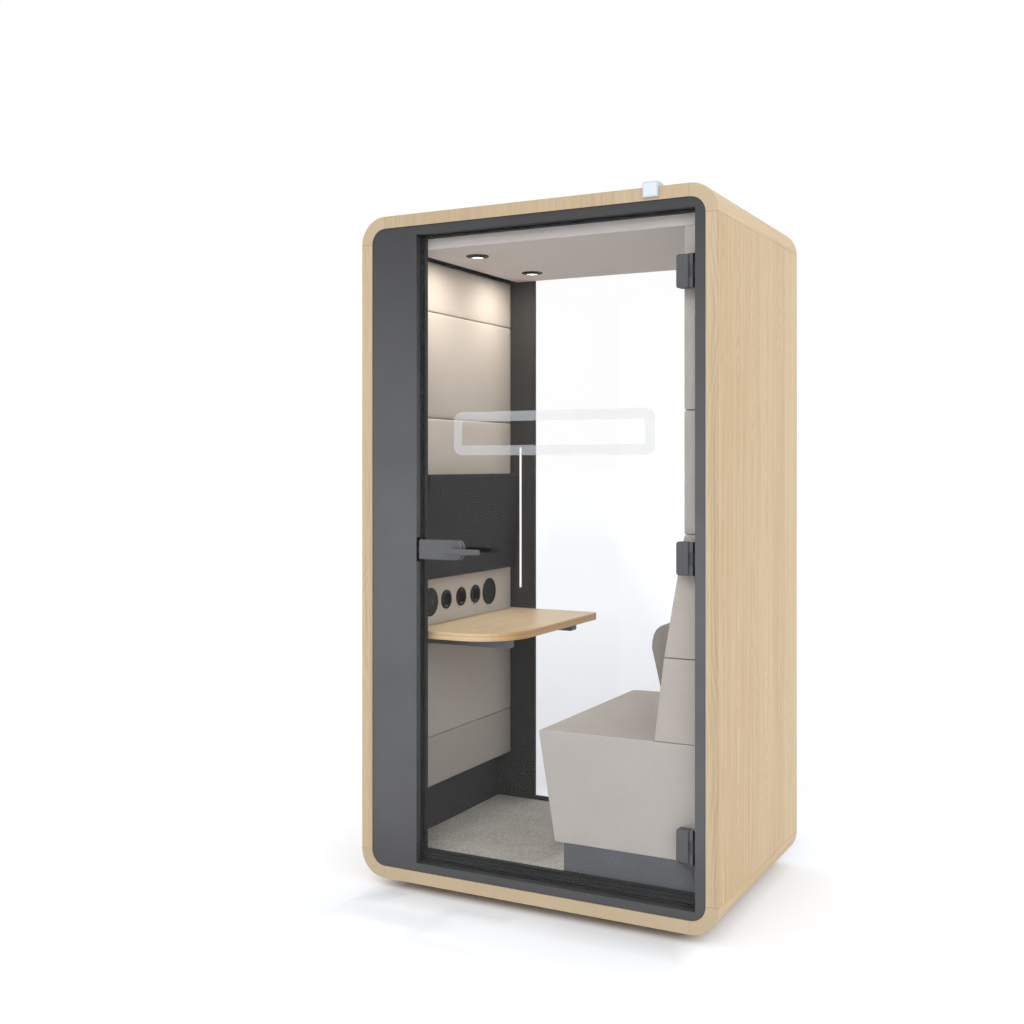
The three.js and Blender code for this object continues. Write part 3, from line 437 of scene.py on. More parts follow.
def grain_streaks(look, run, side, depth, shift):
    """Long streaks along the grain, with finer flecks among them."""
    far, wide, deep = look.stretched((run, side, depth), OAK_STREAKS)
    streaks = look.noise(look.vector(look.math("ADD", far, shift), wide, deep), 1.0, 5.0, 0.62)
    flecks = look.noise(look.vector(*look.stretched((run, side), OAK_FLECKS), shift), 1.0)
    return look.weighted(streaks, LONG_STREAK_SHARE, flecks, FLECK_SHARE)


def oak_colour(look, along, across, leaf, figure):
    """Colour and height of oak veneer: leaves side by side, growth lines, streaks and short dark pores."""
    axes = look.axes()
    run = axes[along]
    side = axes[across]
    depth = axes[3 - along - across]
    if across == 1:
        ends = look.math("GREATER_THAN", look.facing_either_way(1), FRONT_FACING)
        side = look.choose(ends, side, depth)
    number = look.math("FLOOR", look.math("DIVIDE", side, leaf))
    chance = look.node("TexWhiteNoise", {"W": number}, noise_dimensions="1D").outputs[0]
    shift = look.math("MULTIPLY", chance, LEAF_SHIFT)
    arches = growth_lines(look, run, side, leaf, number, shift)
    streaks = grain_streaks(look, run, side, depth, shift)
    pore_place = look.vector(*look.stretched((run, side, depth), OAK_PORES))
    pores = look.spread(look.noise(pore_place, 1.0, 1.0), *PORE_RANGE)
    tone = look.weighted(streaks, STREAK_SHARE, arches, figure)
    tone = look.math("ADD", tone, look.math("MULTIPLY", look.math("SUBTRACT", chance, 0.5), LEAF_SHARE))
    colour = look.ramp(tone, [(0.22, OAK_DARK), (0.52, OAK_MIDDLE), (0.80, OAK_LIGHT)])
    colour = look.mix(look.math("MULTIPLY", pores, PORE_SHARE), colour, OAK_DARK)
    height = look.math("SUBTRACT", streaks, look.math("MULTIPLY", pores, PORE_DEPTH))
    return colour, height


def oak(name, along, across, leaf=VENEER_LEAF, figure=0.06, plain=0.0, edge_painted_shade=NO_TINT, side_tint=NO_TINT):
    """Oak veneer, with painted shade on its front edge: plain says how far that edge loses its streaks."""
    look = Look(name, {"Specular IOR Level": 0.35})
    colour, height = oak_colour(look, along, across, leaf, figure)
    ends = look.math("GREATER_THAN", look.facing_either_way(1), FRONT_FACING)
    edge = look.mix(look.noise(look.place(), EDGE_GRAIN, 3.0), OAK_EDGE, OAK_EDGE_DARK)
    colour = look.mix(look.math("MULTIPLY", ends, plain), colour, edge)
    # Painted shade on the front edge
    look.colour(look.tinted(colour, look.mix(ends, side_tint, edge_painted_shade)))
    look.rough(look.spread(height, 0.2, 0.8, 0.56, 0.44))
    look.bump(height, 0.0004, 0.35)
    return look


def wall_oak():
    """Side walls: upright grain, with painted shade on their front edge."""
    return oak("wall_oak", 2, 1, edge_painted_shade=WALL_EDGE_PAINTED_SHADE, side_tint=OAK_SIDE_TINT).material


def corner_oak():
    """Bent corners: grain from front to back, and a plain edge with painted shade on it."""
    look = oak("corner_oak", 1, 2, CORNER_LEAF, 0.02, 0.85, CORNER_EDGE_PAINTED_SHADE, OAK_SIDE_TINT)
    return look.material


def floor_oak():
    """Floor panel: oak that turns to dark rubber on the feet below it."""
    look = oak("floor_oak", 1, 0, plain=0.92)
    low = look.math("LESS_THAN", look.axes()[2], FEET_TOP)
    below = look.mix(look.noise(look.place(), FEET_GRAIN), hex_colour("1c1c1d"), hex_colour("2c2c2d"))
    look.colour(look.mix(low, look.colour_so_far(), below))
    return look.material


def roof_oak():
    """Roof: near black underneath, where the air slot looks up at it, as painted shade."""
    look = oak("roof_oak", 1, 0, plain=0.45, edge_painted_shade=ROOF_EDGE_PAINTED_SHADE)
    # Painted shade on the faces that look down
    under = look.math("LESS_THAN", look.facing()[2], -HALF_FACING)
    look.colour(look.mix(under, look.colour_so_far(), hex_colour("1a1a1a")))
    return look.material


def desk_oak():
    """Desk board: the same oak on top, and thin laminated layers round its edge, with painted shade at its
    free end.
    """
    look = Look("desk_oak", {"Roughness": 0.42, "Specular IOR Level": 0.4})
    colour, height = oak_colour(look, 1, 0, DESK_LEAF, 0.05)
    level = look.math("MULTIPLY", look.axes()[2], DESK_LAYERS)
    layers = look.noise(look.vector(0.0, 0.0, level), 1.0)
    stops = [(0.3, hex_colour("b39568")), (0.5, hex_colour("d3b88e")), (0.7, hex_colour("e4cca6"))]
    edge = look.ramp(layers, stops)
    # Painted shade on the edge at the desk's free end
    free_end_shade = look.spread(look.facing()[0], HALF_FACING, 0.95)
    edge = look.mix(free_end_shade, edge, look.tinted(edge, DESK_END_PAINTED_SHADE))
    upright = look.math("LESS_THAN", look.facing_either_way(2), HALF_FACING)
    look.colour(look.mix(upright, look.tinted(colour, DESK_TINT), edge))
    look.bump(height, 0.0003, 0.3)
    return look.material


def coated_look(name, colour, roughness, gloss=0.4, metallic=0.0):
    """Powder coat, moulded plastic or rubber: one colour with a fine grain in its gloss and surface."""
    look = Look(name, {"Metallic": metallic, "Specular IOR Level": gloss})
    place = look.place()
    fine = look.noise(place, COAT_GRAIN)
    broad = look.noise(place, COAT_CLOUDS, 3.0)
    base = hex_colour(colour)
    look.colour(look.mix(look.ranged(broad), base, toned(base, COAT_LIGHTER)))
    look.rough(look.ranged(fine, roughness - COAT_GLOSS_RANGE, roughness + COAT_GLOSS_RANGE))
    look.bump(fine, 0.00001, 0.06)
    return look


def coated(*details, **more):
    return coated_look(*details, **more).material


def frame_coat():
    """Powder coat of the front frame, with painted shade towards both ends and painted light at mid height.
    """
    look = coated_look("anthracite", "505153", 0.45)
    stops = [(place, [share] * 3 + [1.0]) for place, share in FRAME_PAINTED_LIGHT_AND_SHADE]
    # Painted light and shade: the coat's colour is scaled by height
    tone = look.ramp(look.math("DIVIDE", look.axes()[2], POD_HEIGHT), stops)
    look.colour(look.tinted(look.colour_so_far(), tone))
    return look.material


def hinge_coat_with_painted_shade(name, colour):
    """Hinge finish, with painted shade: near black in the narrow gap beside the frame."""
    look = coated_look(name, colour, 0.36, metallic=0.3)
    # Painted shade: faces past this line, in the gap beside the frame, are made near black
    gap = look.math("GREATER_THAN", look.axes()[0], joints["door_hinge"]["pos_m"][0] + HINGE_GAP)
    look.colour(look.mix(gap, look.colour_so_far(), hex_colour("0c0c0d")))
    return look.material


def weave(look, axes, normal):
    """Staggered dots and fine threads, laid on whichever way a face looks."""
    wall = look.math("GREATER_THAN", normal[0], look.math("MAXIMUM", normal[1], normal[2]))
    flat = look.math("GREATER_THAN", normal[2], look.math("MAXIMUM", normal[0], normal[1]))
    u = look.choose(wall, axes[0], axes[1])
    v = look.choose(flat, axes[2], axes[1])
    turn = 2 * math.pi / WEAVE_PITCH
    waves = [look.math("SINE", angle) for angle in look.stretched((u, v), (turn, turn))]
    threads = look.noise(look.vector(u, v, 0.0), THREADS)
    return look.math("MULTIPLY", *waves), threads


def fabric(name, dark, light, front=1.0, seams=()):
    """Acoustic fabric: a weave and a slight unevenness, painted shade on faces that look to the front, and
    painted shade along the seams.
    """
    sockets = {"Roughness": 1.0, "Specular IOR Level": 0.05, "Sheen Weight": 0.04, "Sheen Roughness": 0.5}
    look = Look(name, sockets)
    axes = look.axes()
    normal = [look.math("ABSOLUTE", share) for share in look.facing()[:3]]
    dots, threads = weave(look, axes, normal)
    cloudy = look.noise(look.place(), FABRIC_CLOUDS, 3.0)
    tone = look.weighted(dots, DOT_SHARE, threads, THREAD_SHARE)
    tone = look.math("ADD", tone, look.spread(cloudy, 0.0, 1.0, *FABRIC_CLOUD_RANGE))
    colour = look.ramp(tone, [(0.0, hex_colour(dark)), (0.7, hex_colour(light))])
    # Painted shade on faces that look to the front, and along the seams
    ends = look.math("GREATER_THAN", normal[1], FRONT_FACING)
    shade = look.math("SUBTRACT", 1.0, look.math("MULTIPLY", ends, 1.0 - front))
    for level in seams:
        beside = look.math("ABSOLUTE", look.math("SUBTRACT", axes[2], level))
        shade = look.math("MULTIPLY", shade, look.spread(beside, SEAM_CORE, SEAM_SHADE, SEAM_PAINTED_SHADE_TONE, 1.0))
    look.colour(look.tinted(colour, look.vector(shade, shade, shade)))
    look.bump(dots, 0.0002, 0.2)
    return look.material


def seams_of(members):
    """Heights at which each of a column of pads meets the one below it, for the painted shade along the
    seams.
    """
    return [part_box(member)[0].z for member in members]


def carpet_look():
    """Short loop pile: light and dark yarn ends mixed at the size of a tuft."""
    look = Look("carpet", {"Roughness": 1.0, "Specular IOR Level": 0.1, "Sheen Weight": 0.1})
    place = look.place()
    tufts = look.node("TexVoronoi", {"Vector": place, "Scale": TUFTS}).outputs
    speckle = look.node("SeparateColor", {0: tufts["Color"]}).outputs[0]
    cloudy = look.math("MULTIPLY", look.noise(place, CARPET_CLOUDS, 3.0), CARPET_CLOUD_SHARE)
    tone = look.math("ADD", look.spread(speckle, 0.0, 1.0, *TUFT_RANGE), cloudy)
    stops = [(0.1, hex_colour("888580")), (0.5, hex_colour("bab6ae")), (0.95, hex_colour("e2ded6"))]
    look.colour(look.ramp(tone, stops))
    look.bump(tufts["Distance"], 0.002, 0.6)
    return look.material


def glass_look(name):
    """Clear toughened glass that lets lamp light through, with a green cast at its cut edges."""
    clear = hex_colour("ffffff")
    look = Look(name, {"Roughness": 0.0, "IOR": 1.2, "Transmission Weight": 1.0})
    edge = look.math("LESS_THAN", look.facing_either_way(1), HALF_FACING)
    look.colour(look.mix(edge, clear, hex_colour("9fc4b4")))
    through = look.node("BsdfTransparent", {"Color": clear})
    ray = look.node("LightPath").outputs["Is Shadow Ray"]
    both = look.node("MixShader", {0: ray, 1: look.shader.outputs[0], 2: through.outputs[0]})
    look.links.new(both.outputs[0], look.output.inputs["Surface"])
    return look.material


def film_look():
    """Frosted safety film: a thin pale veil that the room still shows through."""
    look = Look("frosted_film", {"Roughness": 0.7, "Base Color": hex_colour("d9dce0")})
    look.feed("Alpha", look.ranged(look.noise(look.place(), FILM_GRAIN), *FILM_RANGE))
    return look.material


def lit(name, colour, strength, base="f2f4f6"):
    """A diffuser with light behind it; the dial's pointer mark uses it for a painted glow."""
    sockets = {"Roughness": 0.4, "Base Color": hex_colour(base), "Emission Color": hex_colour(colour)}
    look = Look(name, sockets)
    grain = look.noise(look.place(), LENS_GRAIN)
    strengths = (strength * (1 - LENS_RANGE), strength * (1 + LENS_RANGE))
    look.feed("Emission Strength", look.ranged(grain, *strengths))
    return look.material


def display_look():
    """Switched-off display: near-black glass with a soft sheen."""
    look = Look("display", {"Specular IOR Level": 0.06})
    place = look.place()
    look.colour(look.mix(look.noise(place, 3.0), hex_colour("202121"), hex_colour("262727")))
    look.rough(look.ranged(look.noise(place, DISPLAY_GRAIN), 0.39, 0.41))
    return look.material


left_panels = numbered("left_panel_")
right_panels = numbered("right_panel_")
power_sockets = numbered("power_socket_")
backrests = {"low": "backrest_lower", "high": "backrest_upper"}
lamps = {place: f"downlight_{place}" for place in ("front", "rear")}
desk_arms = ["desk_arm_front", "desk_arm_rear"]
hinge_places = ("top", "middle", "bottom")

looks = {
    "wall_oak": wall_oak(),
    "roof_oak": roof_oak(),
    "floor_oak": floor_oak(),
    "corner_oak": corner_oak(),
    "desk_oak": desk_oak(),
    "frame": frame_coat(),
    # The rear frame's coat is darker than the front frame's, as painted shade
    "rear_frame": coated("dark_post", "353433", 0.6, 0.15),
    "stop": coated("dark_profile", "2a2b2c", 0.6, 0.15),
    "board": coated("dark_laminate", "3a3b3d", 0.65, 0.15),
    "plinth": coated("plinth_laminate", "5c5e62", 0.8, 0.05),
    "fitting": coated("dark_fitting", "5c5d60", 0.34, metallic=0.35),
    "hinge": hinge_coat_with_painted_shade("hinge_fitting", "515255"),
    "bracket": hinge_coat_with_painted_shade("hinge_bracket", "444548"),
    "inner_fitting": coated("black_fitting", "141415", 0.5, 0.2),
    "arm": coated("steel_arm", "676a70", 0.5, 0.25, metallic=0.3),
    "black": coated("black_plastic", "1d1d1e", 0.6, 0.25),
    "rubber": coated("black_rubber", "1b1b1b", 0.8, 0.2),
    "felt": fabric("acoustic_fabric", "a29c95", "c2bcb4"),
    # Lighter copies of the acoustic fabric are painted light: the ceiling, which also has painted shade on
    # its front, and the left panels near the desk and the screen
    "ceiling_felt": fabric("ceiling_fabric", "c7c1be", "eae4e1", 0.75),
    "outlet_felt": fabric("outlet_fabric", "b9b4ae", "d9d4ce"),
    "desk_felt": fabric("desk_wall_fabric", "afa8a1", "d1cbc2"),
    "screen_felt": fabric("screen_wall_fabric", "a9a29b", "cbc4bc"),
    "seat_felt": fabric("seat_fabric", "a29d98", "c2bdb8"),
    "right_felt": fabric("right_wall_fabric", "a39d97", "c3bdb7", 0.95, seams_of(right_panels)),
    "back_felt": fabric("backrest_fabric", "a39c95", "c3bcb5", 1.0, seams_of(backrests.values())),
    "lumbar_felt": fabric("lumbar_fabric", "7f7973", "9b948e"),
    "carpet": carpet_look(),
    "door_glass": glass_look("door_glass"),
    "rear_glass": glass_look("rear_glass"),
    "film": film_look(),
    "light_bar": lit("light_bar", "fffdf8", 0.95, "8c8c8a"),
    "lens": lit("lamp_lens", "fffaf2", 1.0),
    "sign": lit("sign", "dfeaf8", 0.03, "b9c0ca"),
    "sign_lens": lit("sign_lens", "e8f1ff", 0.06, "c6cdd8"),
    # The pointer mark glows faintly though it holds no lamp: a painted glow
    "mark": lit("pointer_mark", "f4f4f2", 0.01, "8d8f91"),
    # The socket contacts are lighter than their metal would show here: partly their own colour, partly a
    # painted highlight
    "pin": coated("bright_contact", "e2ded6", 0.35, 0.5, metallic=0.2),
    "display": display_look(),
}

node_looks = {
    "wall_oak": ["shell_left", "shell_right"],
    "roof_oak": ["shell_roof"],
    "floor_oak": ["shell_floor"],
    "corner_oak": [f"corner_{level}_{side}" for level in ("top", "bottom") for side in ("left", "right")],
    "desk_oak": ["desk_top"],
    "frame": ["front_frame"],
    "rear_frame": ["rear_frame"],
    "stop": ["door_stop"],
    "arm": desk_arms,
    "board": ["left_wall_board", "right_wall_board", "floor_board"],
    "plinth": ["seat_plinth"],
    "hinge": [f"hinge_clamp_{place}" for place in hinge_places],
    "bracket": [f"hinge_bracket_{place}" for place in hinge_places],
    "fitting": ["lock_case", "latch_bolt", "lever_outer", "screen_bracket"],
    # The inner lever is black as painted shade; the downlight rings and collars are black
    "inner_fitting": ["lever_inner", *lamps.values()],
    "black": [
        "strike_plate", "fan_housing", "fan_rotor", "screen", *power_sockets, "control_dial", "port_cover",
    ],
    "rubber": ["door_seal"],
    "door_glass": ["door_glass"],
    "rear_glass": ["rear_glass"],
    "light_bar": ["led_bar"],
    "sign": ["occupancy_light"],
}
for look_name, members in node_looks.items():
    for member in members:
        nodes[member].data.materials.clear()
        nodes[member].data.materials.append(looks[look_name])


# Upholstery: each pad is lofted from the section of its solid, with round ends, and most are swollen
def section_of(node, level):
    """The outline of a straight pad at a depth, in order round its middle."""
    corners = [v.co for v in nodes[node].data.vertices if abs(v.co.y - level) < SAME_DEPTH]
    points = {(round(corner.x, 5), round(corner.z, 5)) for corner in corners}
    centre = Vector([sum(p[i] for p in points) / len(points) for i in (0, 1)])
    return sorted((Vector(p) for p in points), key=lambda p: math.atan2(p.y - centre.y, p.x - centre.x))


def divided(outline, support):
    """Points along an outline, each with how far it may swell: not at all against a support."""
    made = []
    for start, end in zip(outline, outline[1:] + outline[:1]):
        run = end - start
        count = max(1, round(run.length / PAD_STEP))
        outward = Vector((run.y, -run.x)).normalized()
        held = any(outward.dot(Vector(way)) > SQUARE_ON for way in support)
        for i in range(count):
            share = i / count
            swell = 0.0 if held or count < 3 else math.sin(math.pi * share)
            made.append((start + run * share, swell))
    return made


def normals_of(points):
    """Outward direction at each point of an outline that runs anticlockwise."""
    made = []
    for i in range(len(points)):
        along = (points[(i + 1) % len(points)] - points[i - 1]).normalized()
        made.append(Vector((along.y, -along.x)))
    return made


def stations(start, end, edge):
    """Depths along a pad, close together over its round ends, with the inset of the section at each."""
    arc = [math.radians(angle) for angle in EDGE_ANGLES]
    front = [(edge - edge * math.cos(a), edge - edge * math.sin(a)) for a in arc]
    count = max(2, round((end - start - 2 * edge) / PAD_STEP))
    inner = [(edge + (end - start - 2 * edge) * i / count, 0.0) for i in range(count + 1)]
    back = [(end - start - depth, inset) for depth, inset in reversed(front)]
    return [(start + depth, inset) for depth, inset in front + inner + back]


def lofted_pad(name, node, edge, crown, support, look, read_at=None, rise=0.0, soft_ends=False):
    """A closed pad along the pod's depth, made from its solid's own section and swollen like cloth."""
    low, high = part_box(node)
    outline = section_of(node, low.y + (edge if read_at is None else read_at))
    lifted = Vector((0.0, rise))
    outline = [point + lifted if point.y > high.z - TOP_EDGE_ZONE else point for point in outline]
    marked = divided(outline, support)
    outward = normals_of([point for point, _ in marked])
    bm = bmesh.new()
    held = []
    rings = []
    for depth, inset in stations(low.y, high.y, edge):
        share = (depth - low.y) / (high.y - low.y)
        bulge = crown * math.sin(math.pi * share) ** 0.5 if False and 0 < share < 1 else 0.0
        ring = []
        for (point, swell), way in zip(marked, outward):
            place = point + way * (bulge * swell - inset)
            ring.append(bm.verts.new((place.x, depth, place.y)))
            held.append(0.0 if swell > 0 and low.y + edge < depth < high.y - edge else 1.0)
        rings.append(ring)
    join_rings(bm, rings)
    for ring in (rings[0], rings[-1]):
        held += cap(bm, ring, soft_ends)
    piece = add_piece(name, bm, "pod", look)
    if crown > 0:
        swell_up(piece, held, crown)
    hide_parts(node)
    return piece


def cap(bm, ring, soft):
    """Closes a ring with smaller rings towards its middle, and says which of the new points are held."""
    middle = sum((v.co for v in ring), Vector()) / len(ring)
    outer = ring
    held = []
    for share in CAP_SHARES:
        inner = [bm.verts.new(middle + (v.co - middle) * share) for v in ring]
        held += [0.0 if soft and share < CAP_RIM else 1.0] * len(ring)
        join_rings(bm, [outer, inner])
        outer = inner
    centre = bm.verts.new(middle)
    for i in range(len(ring)):
        bm.faces.new((outer[i], outer[(i + 1) % len(ring)], centre))
    return held + [0.0 if soft else 1.0]


def swell_up(piece, held, most):
    """Blows a pad up as cloth between its held points: the point that moves furthest moves by most."""
    start = [v.co.copy() for v in piece.data.vertices]
    pins = piece.vertex_groups.new(name="held")
    for index, share in enumerate(held):
        pins.add([index], share, "REPLACE")
    step = piece.modifiers.new("swell", "CLOTH")
    step.settings.quality = CLOTH_QUALITY
    step.settings.mass = CLOTH_MASS
    step.settings.use_pressure = True
    step.settings.uniform_pressure_force = CLOTH_PRESSURE
    step.settings.vertex_group_mass = pins.name
    step.settings.effector_weights.gravity = 0.0
    step.collision_settings.use_collision = False
    step.collision_settings.use_self_collision = False
    step.point_cache.frame_start = 1
    step.point_cache.frame_end = CLOTH_FRAMES
    scene = bpy.context.scene
    for number in range(1, CLOTH_FRAMES + 1):
        scene.frame_set(number)
    swollen = piece.evaluated_get(bpy.context.evaluated_depsgraph_get())
    moves = [v.co - place for v, place in zip(swollen.data.vertices, start)]
    share = most / max(max(move.length for move in moves), LEAST_MOVE)
    piece.modifiers.remove(step)
    piece.vertex_groups.remove(pins)
    scene.frame_set(1)
    for v, place, move in zip(piece.data.vertices, start, moves):
        v.co = place + move * share


def cut_from(piece, tools):
    """Takes cutting forms out of a pad and deletes them."""
    bpy.context.view_layer.objects.active = piece
    for tool in tools:
        step = piece.modifiers.new("cut", "BOOLEAN")
        step.operation = "DIFFERENCE"
        step.solver = "EXACT"
        step.object = tool
        bpy.ops.object.modifier_apply(modifier=step.name)
        bpy.data.objects.remove(tool)


def rod_tool(centre, radius, axis):
    """A round cutter about a point, along x or z."""
    bpy.ops.mesh.primitive_cylinder_add(
        vertices=CUTTER_SIDES, radius=radius, depth=CUTTER_LENGTH, location=centre,
    )
    tool = bpy.context.object
    if axis == "X":
        tool.rotation_euler = (0, math.pi / 2, 0)
    return tool


def box_tool(low, high):
    """A cutter between two corners."""
    bpy.ops.mesh.primitive_cube_add(size=1, location=(low + high) / 2)
    tool = bpy.context.object
    tool.scale = high - low
    return tool


def outlet_tools(low, high):
    """Round cutters for the outlets in a panel of the left wall."""
    radii = dict.fromkeys(power_sockets, SOCKET_HOLE_RADIUS)
    radii.update(dict.fromkeys(("control_dial", "port_cover"), PLATE_HOLE_RADIUS))
    tools = []
    for outlet, radius in radii.items():
        near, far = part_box(outlet)
        centre = (near + far) / 2
        if low.z < centre.z < high.z:
            tools.append(rod_tool(centre, radius, "X"))
    return tools


def arm_tools(low, high):
    """Cutters for the desk arms in a panel of the left wall: slots that are open at the top."""
    room = Vector((ARM_SLOT_REACH, ARM_SLOT_ROOM, ARM_SLOT_ROOM))
    tools = []
    for arm in desk_arms:
        near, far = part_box(arm)
        if low.z < near.z < high.z:
            top = Vector((low.x + ARM_SLOT_REACH, far.y, high.z + ARM_SLOT_ABOVE))
            tools.append(box_tool(near - room, top + room))
    return tools


def left_wall_look(node, outlets, arms):
    """The fabric of a left panel: the panels near the desk and the screen get lighter copies of it, as
    painted light.
    """
    if arms:
        return "desk_felt"
    if outlets:
        return "outlet_felt"
    return "screen_felt" if node == SCREEN_PANEL else "felt"


def wall_panels():
    """Padded panels of both walls, the left ones cut out for the outlets and the desk arms."""
    for number, node in enumerate(left_panels, 1):
        outlets = outlet_tools(*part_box(node))
        arms = arm_tools(*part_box(node))
        look = left_wall_look(node, outlets, arms)
        rise = TOP_PANEL_RISE if node == left_panels[-1] else 0.0
        piece = lofted_pad(
            f"fabric_left_{number}", node, PANEL_EDGE, PANEL_CROWN, [LEFT], look, rise=rise,
        )
        cut_from(piece, outlets + arms)
    for number, node in enumerate(right_panels, 1):
        name = f"fabric_right_{number}"
        lofted_pad(name, node, PANEL_EDGE, PANEL_CROWN, [RIGHT], "right_felt")


def bench_pads():
    """Seat, backrest and lumbar pad, which also swell at their ends."""
    lofted_pad(
        "seat_cushion", "seat_block", PANEL_EDGE, SEAT_CROWN, [RIGHT, DOWN], "seat_felt",
        soft_ends=True,
    )
    for place, node in backrests.items():
        lofted_pad(
            f"back_cushion_{place}", node, PANEL_EDGE, BACK_CROWN, [RIGHT, DOWN, UP], "back_felt",
            soft_ends=True,
        )
    lofted_pad(
        "lumbar_cushion", "lumbar_pad", LUMBAR_EDGE, LUMBAR_CROWN, [RIGHT], "lumbar_felt",
        soft_ends=True,
    )


def ceiling_pad():
    """Flat ceiling panel with holes for the downlights."""
    piece = lofted_pad(
        "fabric_ceiling", "ceiling_panel", CEILING_EDGE, 0.0, [RIGHT, LEFT, UP, DOWN],
        "ceiling_felt", read_at=0.0,
    )
    tools = []
    for lamp in lamps.values():
        low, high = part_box(lamp)
        tools.append(rod_tool((low + high) / 2, LAMP_HOLE_RADIUS, "Z"))
    cut_from(piece, tools)


def carpet_piece():
    """Carpet with an uneven pile on top and its edges turned down to the floor board."""
    low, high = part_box("carpet")
    size = high - low
    half = size / 2
    counts = [max(2, round(length / PILE_STEP)) for length in size[:2]]
    bm = bmesh.new()
    bmesh.ops.create_grid(bm, x_segments=counts[0], y_segments=counts[1], size=GRID_HALF)
    for v in bm.verts:
        at_rim = max(abs(v.co.x), abs(v.co.y)) > GRID_RIM
        wave = math.prod(math.sin(v.co.x * across + v.co.y * along) for across, along in PILE_WAVES)
        sink = 2 * PILE_DEPTH if at_rim else PILE_DEPTH * (0.5 + 0.5 * wave)
        x = low.x + half.x + v.co.x * 2 * half.x
        y = low.y + half.y + v.co.y * 2 * half.y
        v.co = Vector((x, y, high.z - sink))
    rim = [edge for edge in bm.edges if edge.is_boundary]
    skirt = bmesh.ops.extrude_edge_only(bm, edges=rim)["geom"]
    for item in skirt:
        if isinstance(item, bmesh.types.BMVert):
            item.co.z = low.z
    bmesh.ops.contextual_create(bm, geom=[edge for edge in bm.edges if edge.is_boundary])
    piece = add_piece("carpet_pile", bm, "pod", "carpet")
    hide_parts("carpet")


# Fittings that the solids leave to the scene
def rounded_rectangle(left, right, low, high, corner, steps):
    """Corner-rounded outline in two directions, anticlockwise."""
    made = []
    centres = [
        (right - corner, low + corner), (right - corner, high - corner),
        (left + corner, high - corner), (left + corner, low + corner),
    ]
    for i, (u, v) in enumerate(centres):
        start = -math.pi / 2 + i * math.pi / 2
        for k in range(steps + 1):
            angle = start + math.pi / 2 * k / steps
            made.append((u + corner * math.cos(angle), v + corner * math.sin(angle)))
    return made


def plate(bm, outline, place, levels):
    """A plate between two levels: place puts a point of the outline and a level into the room."""
    layers = [[bm.verts.new(place(u, v, level)) for u, v in outline] for level in levels]
    bm.faces.new(layers[0])
    bm.faces.new(layers[1])
    join_rings(bm, layers)


def turned(bm, profile, place, sides, closed):
    """A form turned from radii and levels: a closed profile makes a ring, an open one gets two flat ends."""
    turns = [2 * math.pi * i / sides for i in range(sides)]
    rings = [
        [bm.verts.new(place(radius * math.cos(turn), radius * math.sin(turn), level)) for turn in turns]
        for radius, level in profile
    ]
    if not closed:
        bm.faces.new(rings[0])
        bm.faces.new(rings[-1])
    join_rings(bm, rings, closed)


def safety_ring():
    """Frosted band on the outside of the glass at eye height."""
    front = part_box("door_glass")[0].y
    outer = rounded_rectangle(RING_LEFT, RING_RIGHT, RING_LOW, RING_HIGH, RING_CORNER, RING_CORNER_STEPS)
    inner = rounded_rectangle(
        RING_LEFT + RING_BAND, RING_RIGHT - RING_BAND, RING_LOW + RING_BAND, RING_HIGH - RING_BAND,
        RING_INNER_CORNER, RING_CORNER_STEPS,
    )
    bm = bmesh.new()
    loops = [
        [bm.verts.new((u, y, v)) for u, v in outline]
        for outline, y in ((outer, front - FILM), (inner, front - FILM), (inner, front), (outer, front))
    ]
    join_rings(bm, loops, True)
    add_piece("safety_ring", bm, "door", "film", False)


def display_panel():
    """Display inside the screen's bezel, on the tilted housing."""
    joint = joints["screen_tilt"]
    tilt = math.radians(-joint["range_deg"][0])
    pose = Matrix.Translation(joint["pos_m"]) @ Matrix.Rotation(tilt, 4, "Y")
    local = [pose.inverted() @ v.co for v in nodes["screen"].data.vertices]
    face = max(p.x for p in local)
    wide = max(p.y for p in local) - DISPLAY_SIDE_BORDER
    tall = max(p.z for p in local) - DISPLAY_TOP_BORDER
    bm = bmesh.new()
    outline = rounded_rectangle(-wide, wide, -tall, tall, DISPLAY_CORNER, DISPLAY_CORNER_STEPS)
    plate(bm, outline, lambda u, v, level: pose @ Vector((face + level, u, v)), (0.0, FACE_PLATE))
    add_piece("display_panel", bm, "screen", "display", False)


def lamp_lenses():
    """Slightly domed diffuser of each downlight, in a black collar that stands a little below the ring."""
    outer = LENS_RADIUS + COLLAR_WALL
    face = LENS_SET_BACK - COLLAR_DROP
    collar = [
        (outer, LAMP_SEAT), (outer, -COLLAR_DROP), (LENS_RADIUS, -COLLAR_DROP), (LENS_RADIUS, LAMP_SEAT),
    ]
    lens = [(LENS_RADIUS, LAMP_SEAT), (LENS_RADIUS, face)]
    lens += [(LENS_RADIUS * out, face - LENS_CROWN * down) for out, down in LENS_DOME]
    for place, lamp in lamps.items():
        low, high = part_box(lamp)
        middle = (low + high) / 2

        def at(u, v, level):
            return (middle.x + u, middle.y + v, low.z + level)

        bm = bmesh.new()
        turned(bm, collar, at, LAMP_SIDES, True)
        add_piece(f"lamp_collar_{place}", bm, "pod", "inner_fitting", False)
        bm = bmesh.new()
        turned(bm, lens, at, LAMP_SIDES, False)
        add_piece(f"lamp_lens_{place}", bm, "pod", "lens")


